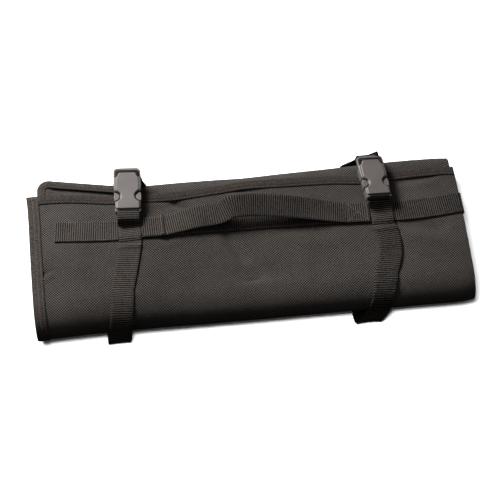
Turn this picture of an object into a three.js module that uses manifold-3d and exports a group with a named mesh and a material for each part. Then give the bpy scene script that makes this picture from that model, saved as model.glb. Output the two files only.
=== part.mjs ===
// A chef's knife roll, rolled up and buckled shut: a padded cloth sheet in a flattened spiral,
// its bound edges, a sewn handle tape with a raised grip, and two webbing straps with side-release buckles.
// Millimetres. X runs along the roll, -Y is the big front fold, +Z is up, and the straps rest on Z = 0.

import * as THREE from 'three';
import { mergeVertices } from 'three/addons/utils/BufferGeometryUtils.js';
import Module from 'manifold-3d';

const wasm = await Module();
wasm.setup();

// The rolled body
const LENGTH = 488;
const DEPTH = 183;
const THICK = 43;
const WALL = 2.4;
const LAYER_GAP = 3.2;
const END_STEP = 2.5;
const CROWN = 1.6;
const DENT_DEPTH = 2.0;
const FRONT_ROUND = 1.15;
const REAR_ROUND = 0.95;
const INNER_END = 0.68;

// Pieces that touch keep this clearance
const GAP = 0.3;

// Binding tape, folded in a U over a raw edge
const BINDING = 1.0;
const EDGE_BINDING_WIDTH = 10;
const END_BINDING_WIDTH = 12;

// The inner flap that shows behind the panel's left end
const FLAP_WALL = 1.6;
const FLAP_BINDING = 0.8;
const FLAP_BINDING_WIDTH = 8;
const FLAP_CORNER = 12;
const FLAP_TUCK = 46;
const FLAP_ROOM = 4.4;

// Handle webbing: a flat tape sewn to the panel and a grip raised over it
const HANDLE_WIDTH = 26;
const HANDLE_THICK = 1.4;
const TAPE_TUCK = 14;
const GRIP_PATCH = 25;
const GRIP_LIFT = 14;
const GRIP_LEAN = 9;
const GRIP_CLEARANCE = 1.6;

// Strap webbing
const STRAP_WIDTH = 25;
const STRAP_THICK = 1.5;
const STRAP_EASE = 0.5;
const STRAP_TAIL = 14;
const STRAP_REAR_EASE = 1.6;
const STRAP_ENTRY = 5;

// Side-release buckle: width across, length along the strap, height off the panel
const BUCKLE_WIDTH = 31;
const BUCKLE_LENGTH = 51;
const BUCKLE_HEIGHT = 11.6;
const BUCKLE_PLATE = 3.3;
const BUCKLE_BACK = 2.4;
const BUCKLE_SIDE = 1.5;
const BAR = 3.0;
const INNER_BAR = 2.2;
const LOWER_SLOT = 4.2;
const FRAME_BAR = 3.8;
const FRAME_SLOT = 3.2;
const SOCKET_DEPTH = 35;
const WINDOW_RADIUS = 6.6;
const WINDOW_PLACE = 20;
const WINDOW_OUT = 0.4;
const SOCKET_CHAMFER = 2.2;
const FRAME_CORNER = 2.6;
const PRONG_WIDTH = 3.4;
const PRONG_NOSE = 1.6;
const TONGUE_WIDTH = 4.8;
const PLUG_JOIN = 0.5;

// Steps that set how fine the faceting is
const STATION_STEPS = 19;
const PANEL_STEPS = 9;
const FOLD_STEPS = 8;
const INNER_FOLD_STEPS = 6;
const LOOP_STEPS = 8;
const RUN_STEPS = 5;
const FALL_STEPS = 8;
const CURL_STEPS = 6;
const ACROSS = [0, 0.2, 0.35, 0.5, 0.65, 0.8, 1];

// Cross sections from the left end to the right end. at is a share of LENGTH, top of THICK, and front,
// edge and back are shares of DEPTH for the front fold, the bound edge of the panel and the rear fold.
// lift is how much of FLAP_ROOM the panel rises by, where it lies over the flap.
const STATIONS = [
  { at: 0.00, top: 1.00, front: 0.022, edge: 0.916, back: 0.996, lift: 1.00 },
  { at: 0.04, top: 1.00, front: 0.007, edge: 0.924, back: 1.000, lift: 1.00 },
  { at: 0.10, top: 1.00, front: 0.008, edge: 0.914, back: 1.000, lift: 1.00 },
  { at: 0.19, top: 1.00, front: 0.009, edge: 0.878, back: 1.000, lift: 1.00 },
  { at: 0.28, top: 1.00, front: 0.006, edge: 0.868, back: 1.000, lift: 0.92 },
  { at: 0.36, top: 1.00, front: 0.003, edge: 0.876, back: 0.998, lift: 0.35 },
  { at: 0.44, top: 1.00, front: 0.000, edge: 0.892, back: 0.992, lift: 0.00 },
  { at: 0.50, top: 1.00, front: -0.004, edge: 0.906, back: 0.986, lift: 0.00 },
  { at: 0.60, top: 1.00, front: -0.008, edge: 0.899, back: 0.992, lift: 0.00 },
  { at: 0.70, top: 0.99, front: -0.011, edge: 0.888, back: 0.996, lift: 0.00 },
  { at: 0.78, top: 0.98, front: -0.013, edge: 0.866, back: 1.003, lift: 0.00 },
  { at: 0.88, top: 0.97, front: -0.016, edge: 0.879, back: 1.007, lift: 0.00 },
  { at: 0.97, top: 0.96, front: -0.014, edge: 0.882, back: 1.006, lift: 0.00 },
  { at: 1.00, top: 0.95, front: -0.004, edge: 0.874, back: 1.000, lift: 0.00 },
];

// Hollows in the panel: place and half size as shares of LENGTH and DEPTH, deep as a share of DENT_DEPTH
const DENTS = [
  { at: 0.335, across: 0.765, long: 0.045, wide: 0.070, deep: 0.80 },
  { at: 0.475, across: 0.420, long: 0.055, wide: 0.100, deep: 0.75 },
  { at: 0.515, across: 0.250, long: 0.050, wide: 0.050, deep: 0.55 },
  { at: 0.620, across: 0.790, long: 0.060, wide: 0.050, deep: 0.50 },
  { at: 0.930, across: 0.450, long: 0.050, wide: 0.120, deep: 0.60 },
];

// The handle tape's centre line: at is a share of LENGTH, across of DEPTH
const TAPE_LINE = [
  { at: 0.068, across: 0.648 },
  { at: 0.200, across: 0.620 },
  { at: 0.400, across: 0.624 },
  { at: 0.620, across: 0.610 },
  { at: 0.850, across: 0.585 },
  { at: 1.000, across: 0.604 },
];

// The grip between its two sewn ends: at is a share of the free span, lift of GRIP_LIFT, lean of GRIP_LEAN
const GRIP_ARCH = [
  { at: 0.00, lift: 0.00, lean: 0.00 },
  { at: 0.10, lift: 0.22, lean: 0.20 },
  { at: 0.24, lift: 0.56, lean: 0.52 },
  { at: 0.35, lift: 0.84, lean: 0.78 },
  { at: 0.43, lift: 1.00, lean: 1.00 },
  { at: 0.54, lift: 0.92, lean: 0.94 },
  { at: 0.68, lift: 0.70, lean: 0.70 },
  { at: 0.82, lift: 0.38, lean: 0.40 },
  { at: 0.93, lift: 0.12, lean: 0.14 },
  { at: 1.00, lift: 0.00, lean: 0.00 },
];

// The flap in plan: left, right as shares of LENGTH, back and backRight as shares of DEPTH
const FLAP = { left: 0.0245, right: 0.257, back: 1.062, backRight: 0.934 };

// Straps. buckleAt and buckleAcross place the buckle's bar end as shares of LENGTH and DEPTH, and turn is in
// degrees. lift and slack are shares of STRAP_THICK: the buckle's height off its seat and how far the strap
// stands in front of the fold. The others are places along X as shares of LENGTH: on the tape, mid panel,
// where the front fold starts, halfway down it, at the foot, at the heel under the rear fold, at the nape
// halfway up it and above.
const STRAPS = [
  {
    name: 'left', buckleAt: 0.2310, buckleAcross: 0.740, turn: -1.6, lift: 0.0, slack: 2.13,
    tape: 0.2300, belly: 0.2215, brow: 0.2020, chin: 0.1930, foot: 0.1885,
    heel: 0.2340, nape: 0.2370, shoulder: 0.2370,
  },
  {
    name: 'right', buckleAt: 0.8100, buckleAcross: 0.667, turn: 1.4, lift: 1.07, slack: 5.07,
    tape: 0.8090, belly: 0.8110, brow: 0.8020, chin: 0.7850, foot: 0.7560,
    heel: 0.7470, nape: 0.7600, shoulder: 0.7920,
  },
];

// Inner corners of a strap's curves, as shares of the way from the curve's start to its end along each
// axis: from the chin down to the floor, and from the floor round the heel to the nape
const FALL_BENDS = [{ x: 0.4, y: -0.3, z: 0.57 }, { x: 1, y: -1.8, z: 1 }];
const HEEL_BENDS = [{ x: 0, y: 0.8, z: 0 }, { x: 0.5, y: 1, z: 0.28 }];

// Sizes that follow from the ones above
const PITCH = WALL + LAYER_GAP;
const FLOOR = STRAP_THICK + GAP;
const TAPE_TOP = GAP + HANDLE_THICK;
const SEAT = Math.max(GAP + BINDING, TAPE_TOP) + GAP;
const LOOP_RADIUS = BAR / 2 + GAP + STRAP_THICK / 2;
const INNER_LOOP = INNER_BAR / 2 + GAP + STRAP_THICK / 2;
const BAR_HEIGHT = LOOP_RADIUS + STRAP_THICK / 2 + GAP;
const RAIL = (BUCKLE_WIDTH - STRAP_WIDTH) / 2 - 2 * GAP;
const PLATE_LOW = BUCKLE_HEIGHT - BUCKLE_PLATE;
const INNER_BAR_HEIGHT = PLATE_LOW - GAP - STRAP_THICK / 2 - INNER_LOOP;
const PLATE_END = BUCKLE_LENGTH - FRAME_BAR - FRAME_SLOT;
const INNER_BAR_PLACE = PLATE_END - FRAME_SLOT;

// Finishes, near-black cloth and webbing with a paler moulded plastic
const FINISH = {
  cloth: { color: 0x2b2726, roughness: 0.92, metalness: 0 },
  binding: { color: 0x24201f, roughness: 0.86, metalness: 0 },
  webbing: { color: 0x262221, roughness: 0.82, metalness: 0 },
  plastic: { color: 0x3a3734, roughness: 0.42, metalness: 0 },
};

// Smooth value of a table's column at a place along its rows
function column(table, name, at) {
  const last = table.length - 1;
  const place = THREE.MathUtils.clamp(at, table[0].at, table[last].at);
  let i = 0;
  while (i < last - 1 && table[i + 1].at < place) i += 1;
  const a = table[i];
  const b = table[i + 1];
  const before = table[Math.max(i - 1, 0)];
  const after = table[Math.min(i + 2, last)];
  const span = b.at - a.at;
  const t = (place - a.at) / span;
  const leave = (b[name] - before[name]) / (b.at - before.at) * span;
  const arrive = (after[name] - a[name]) / (after.at - a.at) * span;
  const t2 = t * t;
  const t3 = t2 * t;
  return a[name] * (2 * t3 - 3 * t2 + 1) + leave * (t3 - 2 * t2 + t)
    + b[name] * (3 * t2 - 2 * t3) + arrive * (t3 - t2);
}

// How far the panel stands above or below a flat layer: a low crown less the hollows
function relief(share, y, edge, brow) {
  const run = THREE.MathUtils.clamp((edge - y) / (edge - brow), 0, 1);
  let height = CROWN * Math.sin(Math.PI * run);
  for (const dent of DENTS) {
    const along = (share - dent.at) / dent.long;
    const across = (y / DEPTH - dent.across) / dent.wide;
    height -= dent.deep * DENT_DEPTH * Math.exp(-along * along - across * across);
  }
  return height;
}

// Points of a half-round fold between two layers. It starts at angle from and turns towards +Y at the rear
// and towards -Y at the front.
function foldPoints(middle, reach, high, low, from, steps) {
  const points = [];
  for (let i = 0; i <= steps; i += 1) {
    const angle = from + Math.PI * i / steps;
    points.push({
      y: middle + reach * Math.cos(angle),
      z: (high + low) / 2 + (high - low) / 2 * Math.sin(angle),
      inset: 0,
    });
  }
  return points;
}

// The sheet's centre line in one cross section, from the panel's bound edge inwards.
// inset is how far that layer stops short of the roll's ends.
function sectionPath(share) {
  const front = column(STATIONS, 'front', share) * DEPTH + WALL / 2;
  const back = column(STATIONS, 'back', share) * DEPTH - WALL / 2;
  const edge = column(STATIONS, 'edge', share) * DEPTH - BINDING - GAP;
  const roof = FLOOR + column(STATIONS, 'top', share) * THICK - WALL / 2;
  const panel = roof + column(STATIONS, 'lift', share) * FLAP_ROOM;
  const low = (turn) => FLOOR + WALL / 2 + turn * PITCH;
  const high = (turn) => (turn === 0 ? panel : roof - turn * PITCH);
  const points = [];

  const brow = front + FRONT_ROUND * (high(0) - low(0)) / 2;
  const rim = edge - EDGE_BINDING_WIDTH - 2 * GAP;
  points.push({ y: edge, z: panel + relief(share, rim, edge, brow), inset: 0 });
  for (let i = 0; i < PANEL_STEPS; i += 1) {
    const y = THREE.MathUtils.lerp(rim, brow, i / PANEL_STEPS);
    points.push({ y, z: panel + relief(share, y, edge, brow), inset: 0 });
  }

  for (let turn = 0; turn < 3; turn += 1) {
    const steps = turn === 0 ? FOLD_STEPS : INNER_FOLD_STEPS;
    const reach = FRONT_ROUND * (high(turn) - low(turn)) / 2;
    const down = foldPoints(front + turn * PITCH + reach, reach, high(turn), low(turn), Math.PI / 2, steps);
    points.push(...down.map((p) => ({ ...p, inset: turn * END_STEP })));
    if (turn < 2) {
      const rise = REAR_ROUND * (high(turn + 1) - low(turn)) / 2;
      const middle = back - turn * PITCH - rise;
      const up = foldPoints(middle, rise, high(turn + 1), low(turn), -Math.PI / 2, steps);
      points.push(...up.map((p, i) => ({ ...p, inset: (turn + i / steps) * END_STEP })));
    }
  }
  points.push({ y: INNER_END * DEPTH, z: low(2), inset: 2 * END_STEP });
  return points;
}

// Cross sections at the stations where the sheet is lofted. The stretch inside the end binding keeps one
// section, and plump thins the wall at the folded right end.
const plainEnd = (END_BINDING_WIDTH + 2 * GAP) / LENGTH;
const foldStart = 1 - WALL / 2 / LENGTH;
const stations = [{ share: 0, plump: 1 }];
for (let i = 0; i < STATION_STEPS; i += 1) {
  stations.push({ share: THREE.MathUtils.lerp(plainEnd, foldStart, i / (STATION_STEPS - 1)), plump: 1 });
}
stations.push({ share: 1, plump: 0.4 });
for (const station of stations) station.path = sectionPath(Math.max(station.share, plainEnd));

// The lofted centre line anywhere along the roll, straight between two stations as the loft is
function pathAt(share) {
  const place = THREE.MathUtils.clamp(share, 0, 1);
  let i = 0;
  while (i < stations.length - 2 && stations[i + 1].share < place) i += 1;
  const a = stations[i];
  const b = stations[i + 1];
  const t = (place - a.share) / (b.share - a.share);
  return a.path.map((p, k) => ({
    y: THREE.MathUtils.lerp(p.y, b.path[k].y, t),
    z: THREE.MathUtils.lerp(p.z, b.path[k].z, t),
    inset: p.inset,
  }));
}

const shareOf = (x) => x / LENGTH + 0.5;
const xOf = (share) => (share - 0.5) * LENGTH;

// Height of the panel's upper face
function panelTop(x, y) {
  const path = pathAt(shareOf(x));
  let i = 0;
  while (i < PANEL_STEPS && path[i + 1].y > y) i += 1;
  const a = path[i];
  const b = path[i + 1];
  const t = THREE.MathUtils.clamp((a.y - y) / (a.y - b.y), 0, 1);
  return THREE.MathUtils.lerp(a.z, b.z, t) + WALL / 2 * Math.hypot(1, (a.z - b.z) / (a.y - b.y));
}

// The same, as the highest of a band as wide as a strap
function bandTop(x, y) {
  return Math.max(...ACROSS.map((t) => panelTop(x + (t - 0.5) * STRAP_WIDTH, y)));
}

// Directions along an open line in a plane, each made long enough to keep a wall's thickness at its bend
function mitres(points) {
  const runs = points.slice(1).map((p, i) => p.clone().sub(points[i]).normalize());
  return points.map((p, i) => {
    const into = runs[Math.max(i - 1, 0)];
    const out = runs[Math.min(i, runs.length - 1)];
    const along = into.clone().add(out).normalize();
    return along.divideScalar(along.dot(out));
  });
}

// Outward normals of a section's line in the YZ plane
function wallNormals(path) {
  return mitres(path.map((p) => new THREE.Vector2(p.y, p.z))).map((m) => ({ y: m.y, z: -m.x }));
}

// A closed mesh lofted through rings of equal length, with caps given as triangles of ring places
function loft(rings, cap) {
  const count = rings[0].length;
  const positions = rings.flatMap((ring) => ring.flatMap((p) => [p.x, p.y, p.z]));
  const index = [];
  for (let r = 0; r < rings.length - 1; r += 1) {
    for (let i = 0; i < count; i += 1) {
      const j = (i + 1) % count;
      const a = r * count;
      const b = a + count;
      index.push(a + i, a + j, b + i, a + j, b + j, b + i);
    }
  }
  const last = (rings.length - 1) * count;
  for (const [i, j, k] of cap) {
    index.push(k, j, i);
    index.push(last + i, last + j, last + k);
  }
  const geometry = new THREE.BufferGeometry();
  geometry.setAttribute('position', new THREE.Float32BufferAttribute(positions, 3));
  geometry.setIndex(volume(positions, index) > 0 ? index : index.reverse());
  return geometry;
}

function volume(positions, index) {
  const corner = (i) => new THREE.Vector3().fromArray(positions, 3 * index[i]);
  let total = 0;
  for (let i = 0; i < index.length; i += 3) {
    total += corner(i).dot(corner(i + 1).cross(corner(i + 2))) / 6;
  }
  return total;
}

// Caps for a ring that goes out along one side of a wall and back along the other
function wallCap(count) {
  const cap = [];
  for (let i = 0; i < count / 2 - 1; i += 1) {
    const back = count - 1 - i;
    cap.push([i, i + 1, back], [i + 1, back - 1, back]);
  }
  return cap;
}

// The rolled sheet: a wall of even thickness along the spiral, lofted from end to end
function rollSheet() {
  const rings = stations.map(({ share, plump, path }) => {
    const normals = wallNormals(path);
    const side = (sign) => path.map((p, i) => ({
      x: (share - 0.5) * (LENGTH - 2 * p.inset),
      y: p.y + sign * plump * WALL / 2 * normals[i].y,
      z: p.z + sign * plump * WALL / 2 * normals[i].z,
    }));
    return [...side(1), ...side(-1).reverse()];
  });
  return loft(rings, wallCap(rings[0].length));
}

// Section of a folded binding: along runs from the fold over the raw edge inwards, and off is the distance
// off the wall's middle
function bindingSection(width, wall, tape) {
  const inner = wall / 2 + GAP;
  const outer = inner + tape;
  return [
    { along: width, off: -outer }, { along: -GAP - tape, off: -outer },
    { along: -GAP - tape, off: outer }, { along: width, off: outer },
    { along: width, off: inner }, { along: -GAP, off: inner },
    { along: -GAP, off: -inner }, { along: width, off: -inner },
  ];
}

const BINDING_CAP = [[0, 1, 6], [0, 6, 7], [1, 2, 5], [1, 5, 6], [2, 3, 4], [2, 4, 5]];

// Binding over the sheet's left end, following the spiral from the panel's corner to the inner end
function endBinding() {
  const path = pathAt(0);
  const first = path[0];
  const start = { ...first, y: first.y + GAP + BINDING };
  const route = [start, ...path.slice(1)];
  const normals = wallNormals(route);
  const section = bindingSection(END_BINDING_WIDTH, WALL, BINDING);
  const rings = route.map((p, i) => section.map(({ along, off }) => ({
    x: -LENGTH / 2 + p.inset + along,
    y: p.y + off * normals[i].y,
    z: p.z + off * normals[i].z,
  })));
  return loft(rings, BINDING_CAP);
}

// Binding over the panel's rear edge, from the end binding to the right end
function edgeBinding() {
  const start = shareOf(-LENGTH / 2 + END_BINDING_WIDTH + GAP);
  const shares = [start, ...stations.map((s) => s.share).filter((s) => s > start + 0.01 && s < 1)];
  const section = bindingSection(EDGE_BINDING_WIDTH, WALL, BINDING);
  const rings = shares.map((share) => {
    const [rim, next] = pathAt(share);
    const into = new THREE.Vector2(next.y - rim.y, next.z - rim.z).normalize();
    return section.map(({ along, off }) => ({
      x: xOf(share),
      y: rim.y + along * into.x + off * into.y,
      z: rim.z + along * into.y - off * into.x,
    }));
  });
  return loft(rings, BINDING_CAP);
}

// The flap's edge in plan, from its hidden right end along the back and round the corner to the left side
function flapEdge() {
  const right = new THREE.Vector2(xOf(FLAP.right), FLAP.backRight * DEPTH);
  const corner = new THREE.Vector2(xOf(FLAP.left), FLAP.back * DEPTH);
  const front = new THREE.Vector2(corner.x, right.y - FLAP_TUCK);
  const along = right.clone().sub(corner).normalize();
  const down = new THREE.Vector2(0, -1);
  const opening = Math.acos(along.dot(down));
  const setback = FLAP_CORNER / Math.tan(opening / 2);
  const enter = corner.clone().addScaledVector(along, setback);
  const leave = corner.clone().addScaledVector(down, setback);
  const centre = new THREE.Vector2(corner.x + FLAP_CORNER, leave.y);
  const from = Math.atan2(enter.y - centre.y, enter.x - centre.x);
  const points = [right];
  for (let i = 0; i <= LOOP_STEPS; i += 1) {
    const angle = THREE.MathUtils.lerp(from, Math.PI, i / LOOP_STEPS);
    points.push(new THREE.Vector2(
      centre.x + FLAP_CORNER * Math.cos(angle),
      centre.y + FLAP_CORNER * Math.sin(angle),
    ));
  }
  points.push(front);
  return points;
}

// The flap's binding rests on the end binding of the roll's second layer
function flapHeight() {
  const path = pathAt(FLAP.left);
  const secondLayer = path[PANEL_STEPS + 1 + FOLD_STEPS + 1 + FOLD_STEPS].z + WALL / 2;
  return secondLayer + GAP + BINDING + GAP + FLAP_BINDING + GAP + FLAP_WALL / 2;
}

function innerFlap() {
  const edge = flapEdge();
  const right = edge[0];
  const front = edge[edge.length - 1];
  const shape = new THREE.Shape([...edge, new THREE.Vector2(right.x, front.y)]);
  const geometry = new THREE.ExtrudeGeometry(shape, { depth: FLAP_WALL, bevelEnabled: false });
  geometry.translate(0, 0, flapHeight() - FLAP_WALL / 2);
  return geometry;
}

function flapBinding() {
  const edge = flapEdge();
  const height = flapHeight();
  const directions = mitres(edge);
  const section = bindingSection(FLAP_BINDING_WIDTH, FLAP_WALL, FLAP_BINDING);
  const rings = edge.map((p, i) => section.map(({ along, off }) => ({
    x: p.x - directions[i].y * along,
    y: p.y + directions[i].x * along,
    z: height + off,
  })));
  return loft(rings, BINDING_CAP);
}

// A band of webbing through rings given by a centre, half its width across and half its thickness up
function band(frames) {
  const rings = frames.map(({ centre, across, up }) => [
    centre.clone().add(across).add(up),
    centre.clone().sub(across).add(up),
    centre.clone().sub(across).sub(up),
    centre.clone().add(across).sub(up),
  ]);
  return loft(rings, [[0, 1, 2], [0, 2, 3]]);
}

// One ring of a handle band that lies along the panel, its underside off above the panel's highest line
function handleFrame(x, middle, off) {
  const far = middle + HANDLE_WIDTH / 2;
  const near = middle - HANDLE_WIDTH / 2;
  const nearTop = panelTop(x, near);
  const farTop = panelTop(x, far);
  const swell = Math.max(...ACROSS.map((t) => (
    panelTop(x, THREE.MathUtils.lerp(near, far, t)) - THREE.MathUtils.lerp(nearTop, farTop, t))));
  const across = new THREE.Vector3(0, HANDLE_WIDTH, farTop - nearTop).divideScalar(2);
  const up = new THREE.Vector3(0, -across.z, across.y).setLength(HANDLE_THICK / 2);
  const deck = (nearTop + farTop) / 2 + swell;
  const centre = new THREE.Vector3(x, middle, deck + off + HANDLE_THICK / 2);
  return { centre, across, up, swell };
}

// Places along X for a band between two ends, with every station in between
function placesBetween(start, end) {
  const inside = stations.map((s) => xOf(s.share)).filter((x) => x > start + 1 && x < end - 1);
  return [start, ...inside, end];
}

const tapeMiddle = (x) => column(TAPE_LINE, 'across', shareOf(x)) * DEPTH;

// The tape sewn along the panel, wrapped round the folded right end
function handleTape() {
  const start = xOf(TAPE_LINE[0].at);
  const end = LENGTH / 2 - WALL / 2;
  const frames = placesBetween(start, end).map((x) => (
    handleFrame(x, tapeMiddle(x), GAP)));
  const top = frames[frames.length - 1];
  const radius = WALL / 2 + GAP + HANDLE_THICK / 2 + top.swell;
  const hub = top.centre.clone().addScaledVector(top.up, -radius / (HANDLE_THICK / 2));
  const upward = top.up.clone().normalize();
  for (let i = 1; i <= LOOP_STEPS; i += 1) {
    const angle = Math.PI * i / LOOP_STEPS;
    const out = upward.clone().multiplyScalar(Math.cos(angle));
    out.x += Math.sin(angle);
    frames.push({
      centre: hub.clone().addScaledVector(out, radius),
      across: top.across,
      up: out.clone().multiplyScalar(HANDLE_THICK / 2),
    });
  }
  const turned = frames[frames.length - 1];
  const tucked = turned.centre.clone();
  tucked.x -= TAPE_TUCK;
  frames.push({ centre: tucked, across: turned.across, up: turned.up });
  return band(frames);
}

// The grip: its ends lie sewn on the tape beside the straps and its middle stands up and leans back
function handleGrip() {
  const [left, right] = STRAPS.map((strap) => xOf(strap.tape));
  const start = left + STRAP_WIDTH / 2 + GRIP_CLEARANCE;
  const end = right - STRAP_WIDTH / 2 - GRIP_CLEARANCE;
  const spanStart = start + GRIP_PATCH;
  const spanEnd = end - GRIP_PATCH;
  const resting = TAPE_TOP + GAP;
  const flatLeft = placesBetween(start, spanStart).map((x) => handleFrame(x, tapeMiddle(x), resting));
  const flatRight = placesBetween(spanEnd, end).map((x) => handleFrame(x, tapeMiddle(x), resting));
  const rise = GRIP_ARCH.slice(1, -1).map((row) => {
    const x = THREE.MathUtils.lerp(spanStart, spanEnd, row.at);
    const frame = handleFrame(x, tapeMiddle(x) + row.lean * GRIP_LEAN, resting + row.lift * GRIP_LIFT);
    frame.centre.z += CROWN * row.lift * row.lean;
    return frame;
  });
  return band([...flatLeft, ...rise, ...flatRight]);
}

// From a buckle's own frame to the roll's. In its own frame x is across, y runs from the lower bar to the
// frame bar and z is up from its seat.
function buckleFrame(strap) {
  const x = xOf(strap.buckleAt);
  const y = strap.buckleAcross * DEPTH;
  const edge = pathAt(strap.buckleAt)[0].y;
  const seats = [y - STRAP_TAIL, y, (y + edge) / 2, edge].map((place) => bandTop(x, place));
  const seat = Math.max(...seats) + SEAT + strap.lift * STRAP_THICK;
  const matrix = new THREE.Matrix4().makeTranslation(x, y, seat);
  return matrix.multiply(new THREE.Matrix4().makeRotationZ(THREE.MathUtils.degToRad(strap.turn)));
}

// Frames of a strap from its centre line. Its width stays square to the way it runs, and inside a buckle it
// keeps to the buckle's own turn.
function strapFrames(points, axes) {
  return points.map((p, i) => {
    const a = points[Math.max(i - 1, 0)];
    const b = points[Math.min(i + 1, points.length - 1)];
    const run = b.clone().sub(a).normalize();
    const across = axes[i].clone().addScaledVector(run, -axes[i].dot(run)).normalize().negate();
    const up = across.clone().cross(run).normalize();
    return {
      centre: p,
      across: across.multiplyScalar(STRAP_WIDTH / 2),
      up: up.multiplyScalar(STRAP_THICK / 2),
    };
  });
}

// Points of a strap's loop round a bar, in the buckle's frame
function barLoop(place, height, radius, from, to) {
  const points = [];
  for (let i = 0; i <= LOOP_STEPS; i += 1) {
    const angle = THREE.MathUtils.lerp(from, to, i / LOOP_STEPS);
    points.push(new THREE.Vector3(0, place + radius * Math.cos(angle), height + radius * Math.sin(angle)));
  }
  return points;
}

// A curve from one point to another through two inner corners given as shares of the way between them
function curveBetween(start, end, bends, steps) {
  const way = end.clone().sub(start);
  const inner = bends.map((bend) => new THREE.Vector3(bend.x, bend.y, bend.z).multiply(way).add(start));
  return new THREE.CubicBezierCurve3(start, ...inner, end).getPoints(steps);
}

// The strap's tail, its loop round the buckle's lower bar and the stretch that lies back over the tail
function tailPoints(frame) {
  const bar = BAR / 2;
  const under = BAR_HEIGHT - LOOP_RADIUS;
  const overTail = under + STRAP_THICK + GAP;
  const points = [
    new THREE.Vector3(0, bar - STRAP_TAIL, under),
    ...barLoop(bar, BAR_HEIGHT, LOOP_RADIUS, -Math.PI / 2, Math.PI / 2),
    new THREE.Vector3(0, bar - STRAP_TAIL / 2, overTail + STRAP_EASE),
    new THREE.Vector3(0, bar - STRAP_TAIL - STRAP_THICK, overTail),
  ];
  return points.map((p) => p.applyMatrix4(frame));
}

// Over the tape, where the strap is sewn down, and along the panel to the start of the front fold
function panelPoints(strap) {
  const rest = GAP + STRAP_THICK / 2;
  const tapeX = xOf(strap.tape);
  const tapeLow = tapeMiddle(tapeX) - HANDLE_WIDTH / 2;
  const settle = strap.buckleAcross * DEPTH - STRAP_TAIL - 2 * STRAP_THICK;
  const onTape = (y) => bandTop(tapeX, y) + TAPE_TOP + rest + GAP / 2;
  const points = [
    new THREE.Vector3(tapeX, settle, Math.max(onTape(settle), onTape(tapeLow))),
    new THREE.Vector3(tapeX, tapeLow - GAP, onTape(tapeLow)),
  ];
  const start = tapeLow - 3 * STRAP_THICK;
  const browY = pathAt(strap.brow)[PANEL_STEPS + 1].y;
  for (let i = 0; i < RUN_STEPS; i += 1) {
    const t = i / RUN_STEPS;
    const y = THREE.MathUtils.lerp(start, browY, t);
    const upper = THREE.MathUtils.lerp(tapeX, xOf(strap.belly), Math.min(2 * t, 1));
    const x = THREE.MathUtils.lerp(upper, xOf(strap.brow), Math.max(2 * t - 1, 0));
    points.push(new THREE.Vector3(x, y, bandTop(x, y) + rest + STRAP_EASE * Math.sin(Math.PI * t)));
  }
  return points;
}

// Round the upper half of the front fold, then hanging free to the floor
function frontPoints(strap) {
  const normals = wallNormals(pathAt(strap.brow));
  const half = FOLD_STEPS / 2;
  const points = [];
  for (let i = 0; i <= half; i += 1) {
    const share = THREE.MathUtils.lerp(strap.brow, strap.chin, i / half);
    const k = PANEL_STEPS + 1 + i;
    const { y, z } = pathAt(share)[k];
    const off = WALL / 2 + GAP + STRAP_THICK / 2 + STRAP_EASE * (i + 1) / half;
    points.push(new THREE.Vector3(xOf(share), y + off * normals[k].y, z + off * normals[k].z));
  }
  const chin = points[half];
  const foot = chin.y + strap.slack * STRAP_THICK;
  const floor = new THREE.Vector3(xOf(strap.foot), foot, STRAP_THICK / 2);
  return [...points, ...curveBetween(chin, floor, FALL_BENDS, FALL_STEPS).slice(1)];
}

// Under the roll, up behind it and over to the mouth of the buckle
function rearPoints(strap, frame) {
  const flat = STRAP_THICK / 2;
  const back = column(STATIONS, 'back', strap.heel) * DEPTH;
  const rear = back + STRAP_REAR_EASE;
  const halfway = FLOOR + THICK / 2;
  const [footX, heelX, napeX, shoulderX] = (
    [strap.foot, strap.heel, strap.nape, strap.shoulder].map((share) => xOf(share)));
  const under = new THREE.Vector3(THREE.MathUtils.lerp(footX, heelX, 0.5), DEPTH / 2, flat);
  const heel = new THREE.Vector3(heelX, back - THICK / 2, flat);
  const nape = new THREE.Vector3(napeX, rear, halfway);

  const innerHeight = INNER_BAR_HEIGHT - INNER_LOOP;
  const entry = new THREE.Vector3(0, BUCKLE_LENGTH + STRAP_ENTRY, innerHeight).applyMatrix4(frame);
  const mouth = new THREE.Vector3(0, BUCKLE_LENGTH + GAP, innerHeight).applyMatrix4(frame);
  const behind = Math.max(entry.y, rear + STRAP_THICK) + 2 * STRAP_THICK;
  const rise = new THREE.CubicBezierCurve3(
    nape,
    new THREE.Vector3((napeX + shoulderX) / 2, rear + STRAP_THICK, (halfway + 3 * entry.z) / 4),
    new THREE.Vector3(shoulderX, behind, entry.z),
    entry,
  );
  return [
    under,
    ...curveBetween(heel, nape, HEEL_BENDS, CURL_STEPS),
    ...rise.getPoints(FALL_STEPS).slice(1),
    mouth,
  ];
}

// Round the buckle's hidden inner bar
function upperLoop(frame) {
  const loop = barLoop(INNER_BAR_PLACE, INNER_BAR_HEIGHT, INNER_LOOP, -Math.PI / 2, -1.5 * Math.PI);
  const tip = new THREE.Vector3(0, INNER_BAR_PLACE + INNER_BAR, INNER_BAR_HEIGHT + INNER_LOOP);
  return [...loop, tip].map((p) => p.applyMatrix4(frame));
}

// A strap as a band, with no edge of it lower than the surface it lies on
function strapBand(strap) {
  const frame = buckleFrame(strap);
  const tail = tailPoints(frame);
  const middle = [...panelPoints(strap), ...frontPoints(strap), ...rearPoints(strap, frame)];
  const upper = upperLoop(frame);
  const along = new THREE.Vector3(1, 0, 0);
  const turned = along.clone().transformDirection(frame);
  const points = [...tail, ...middle, ...upper];
  const isFree = (i) => i >= tail.length && i < tail.length + middle.length - 1;
  const frames = strapFrames(points, points.map((p, i) => (isFree(i) ? along : turned)));
  for (const { centre, across, up } of frames) {
    centre.z = Math.max(centre.z, Math.abs(across.z) + Math.abs(up.z));
  }
  return band(frames);
}

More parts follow.
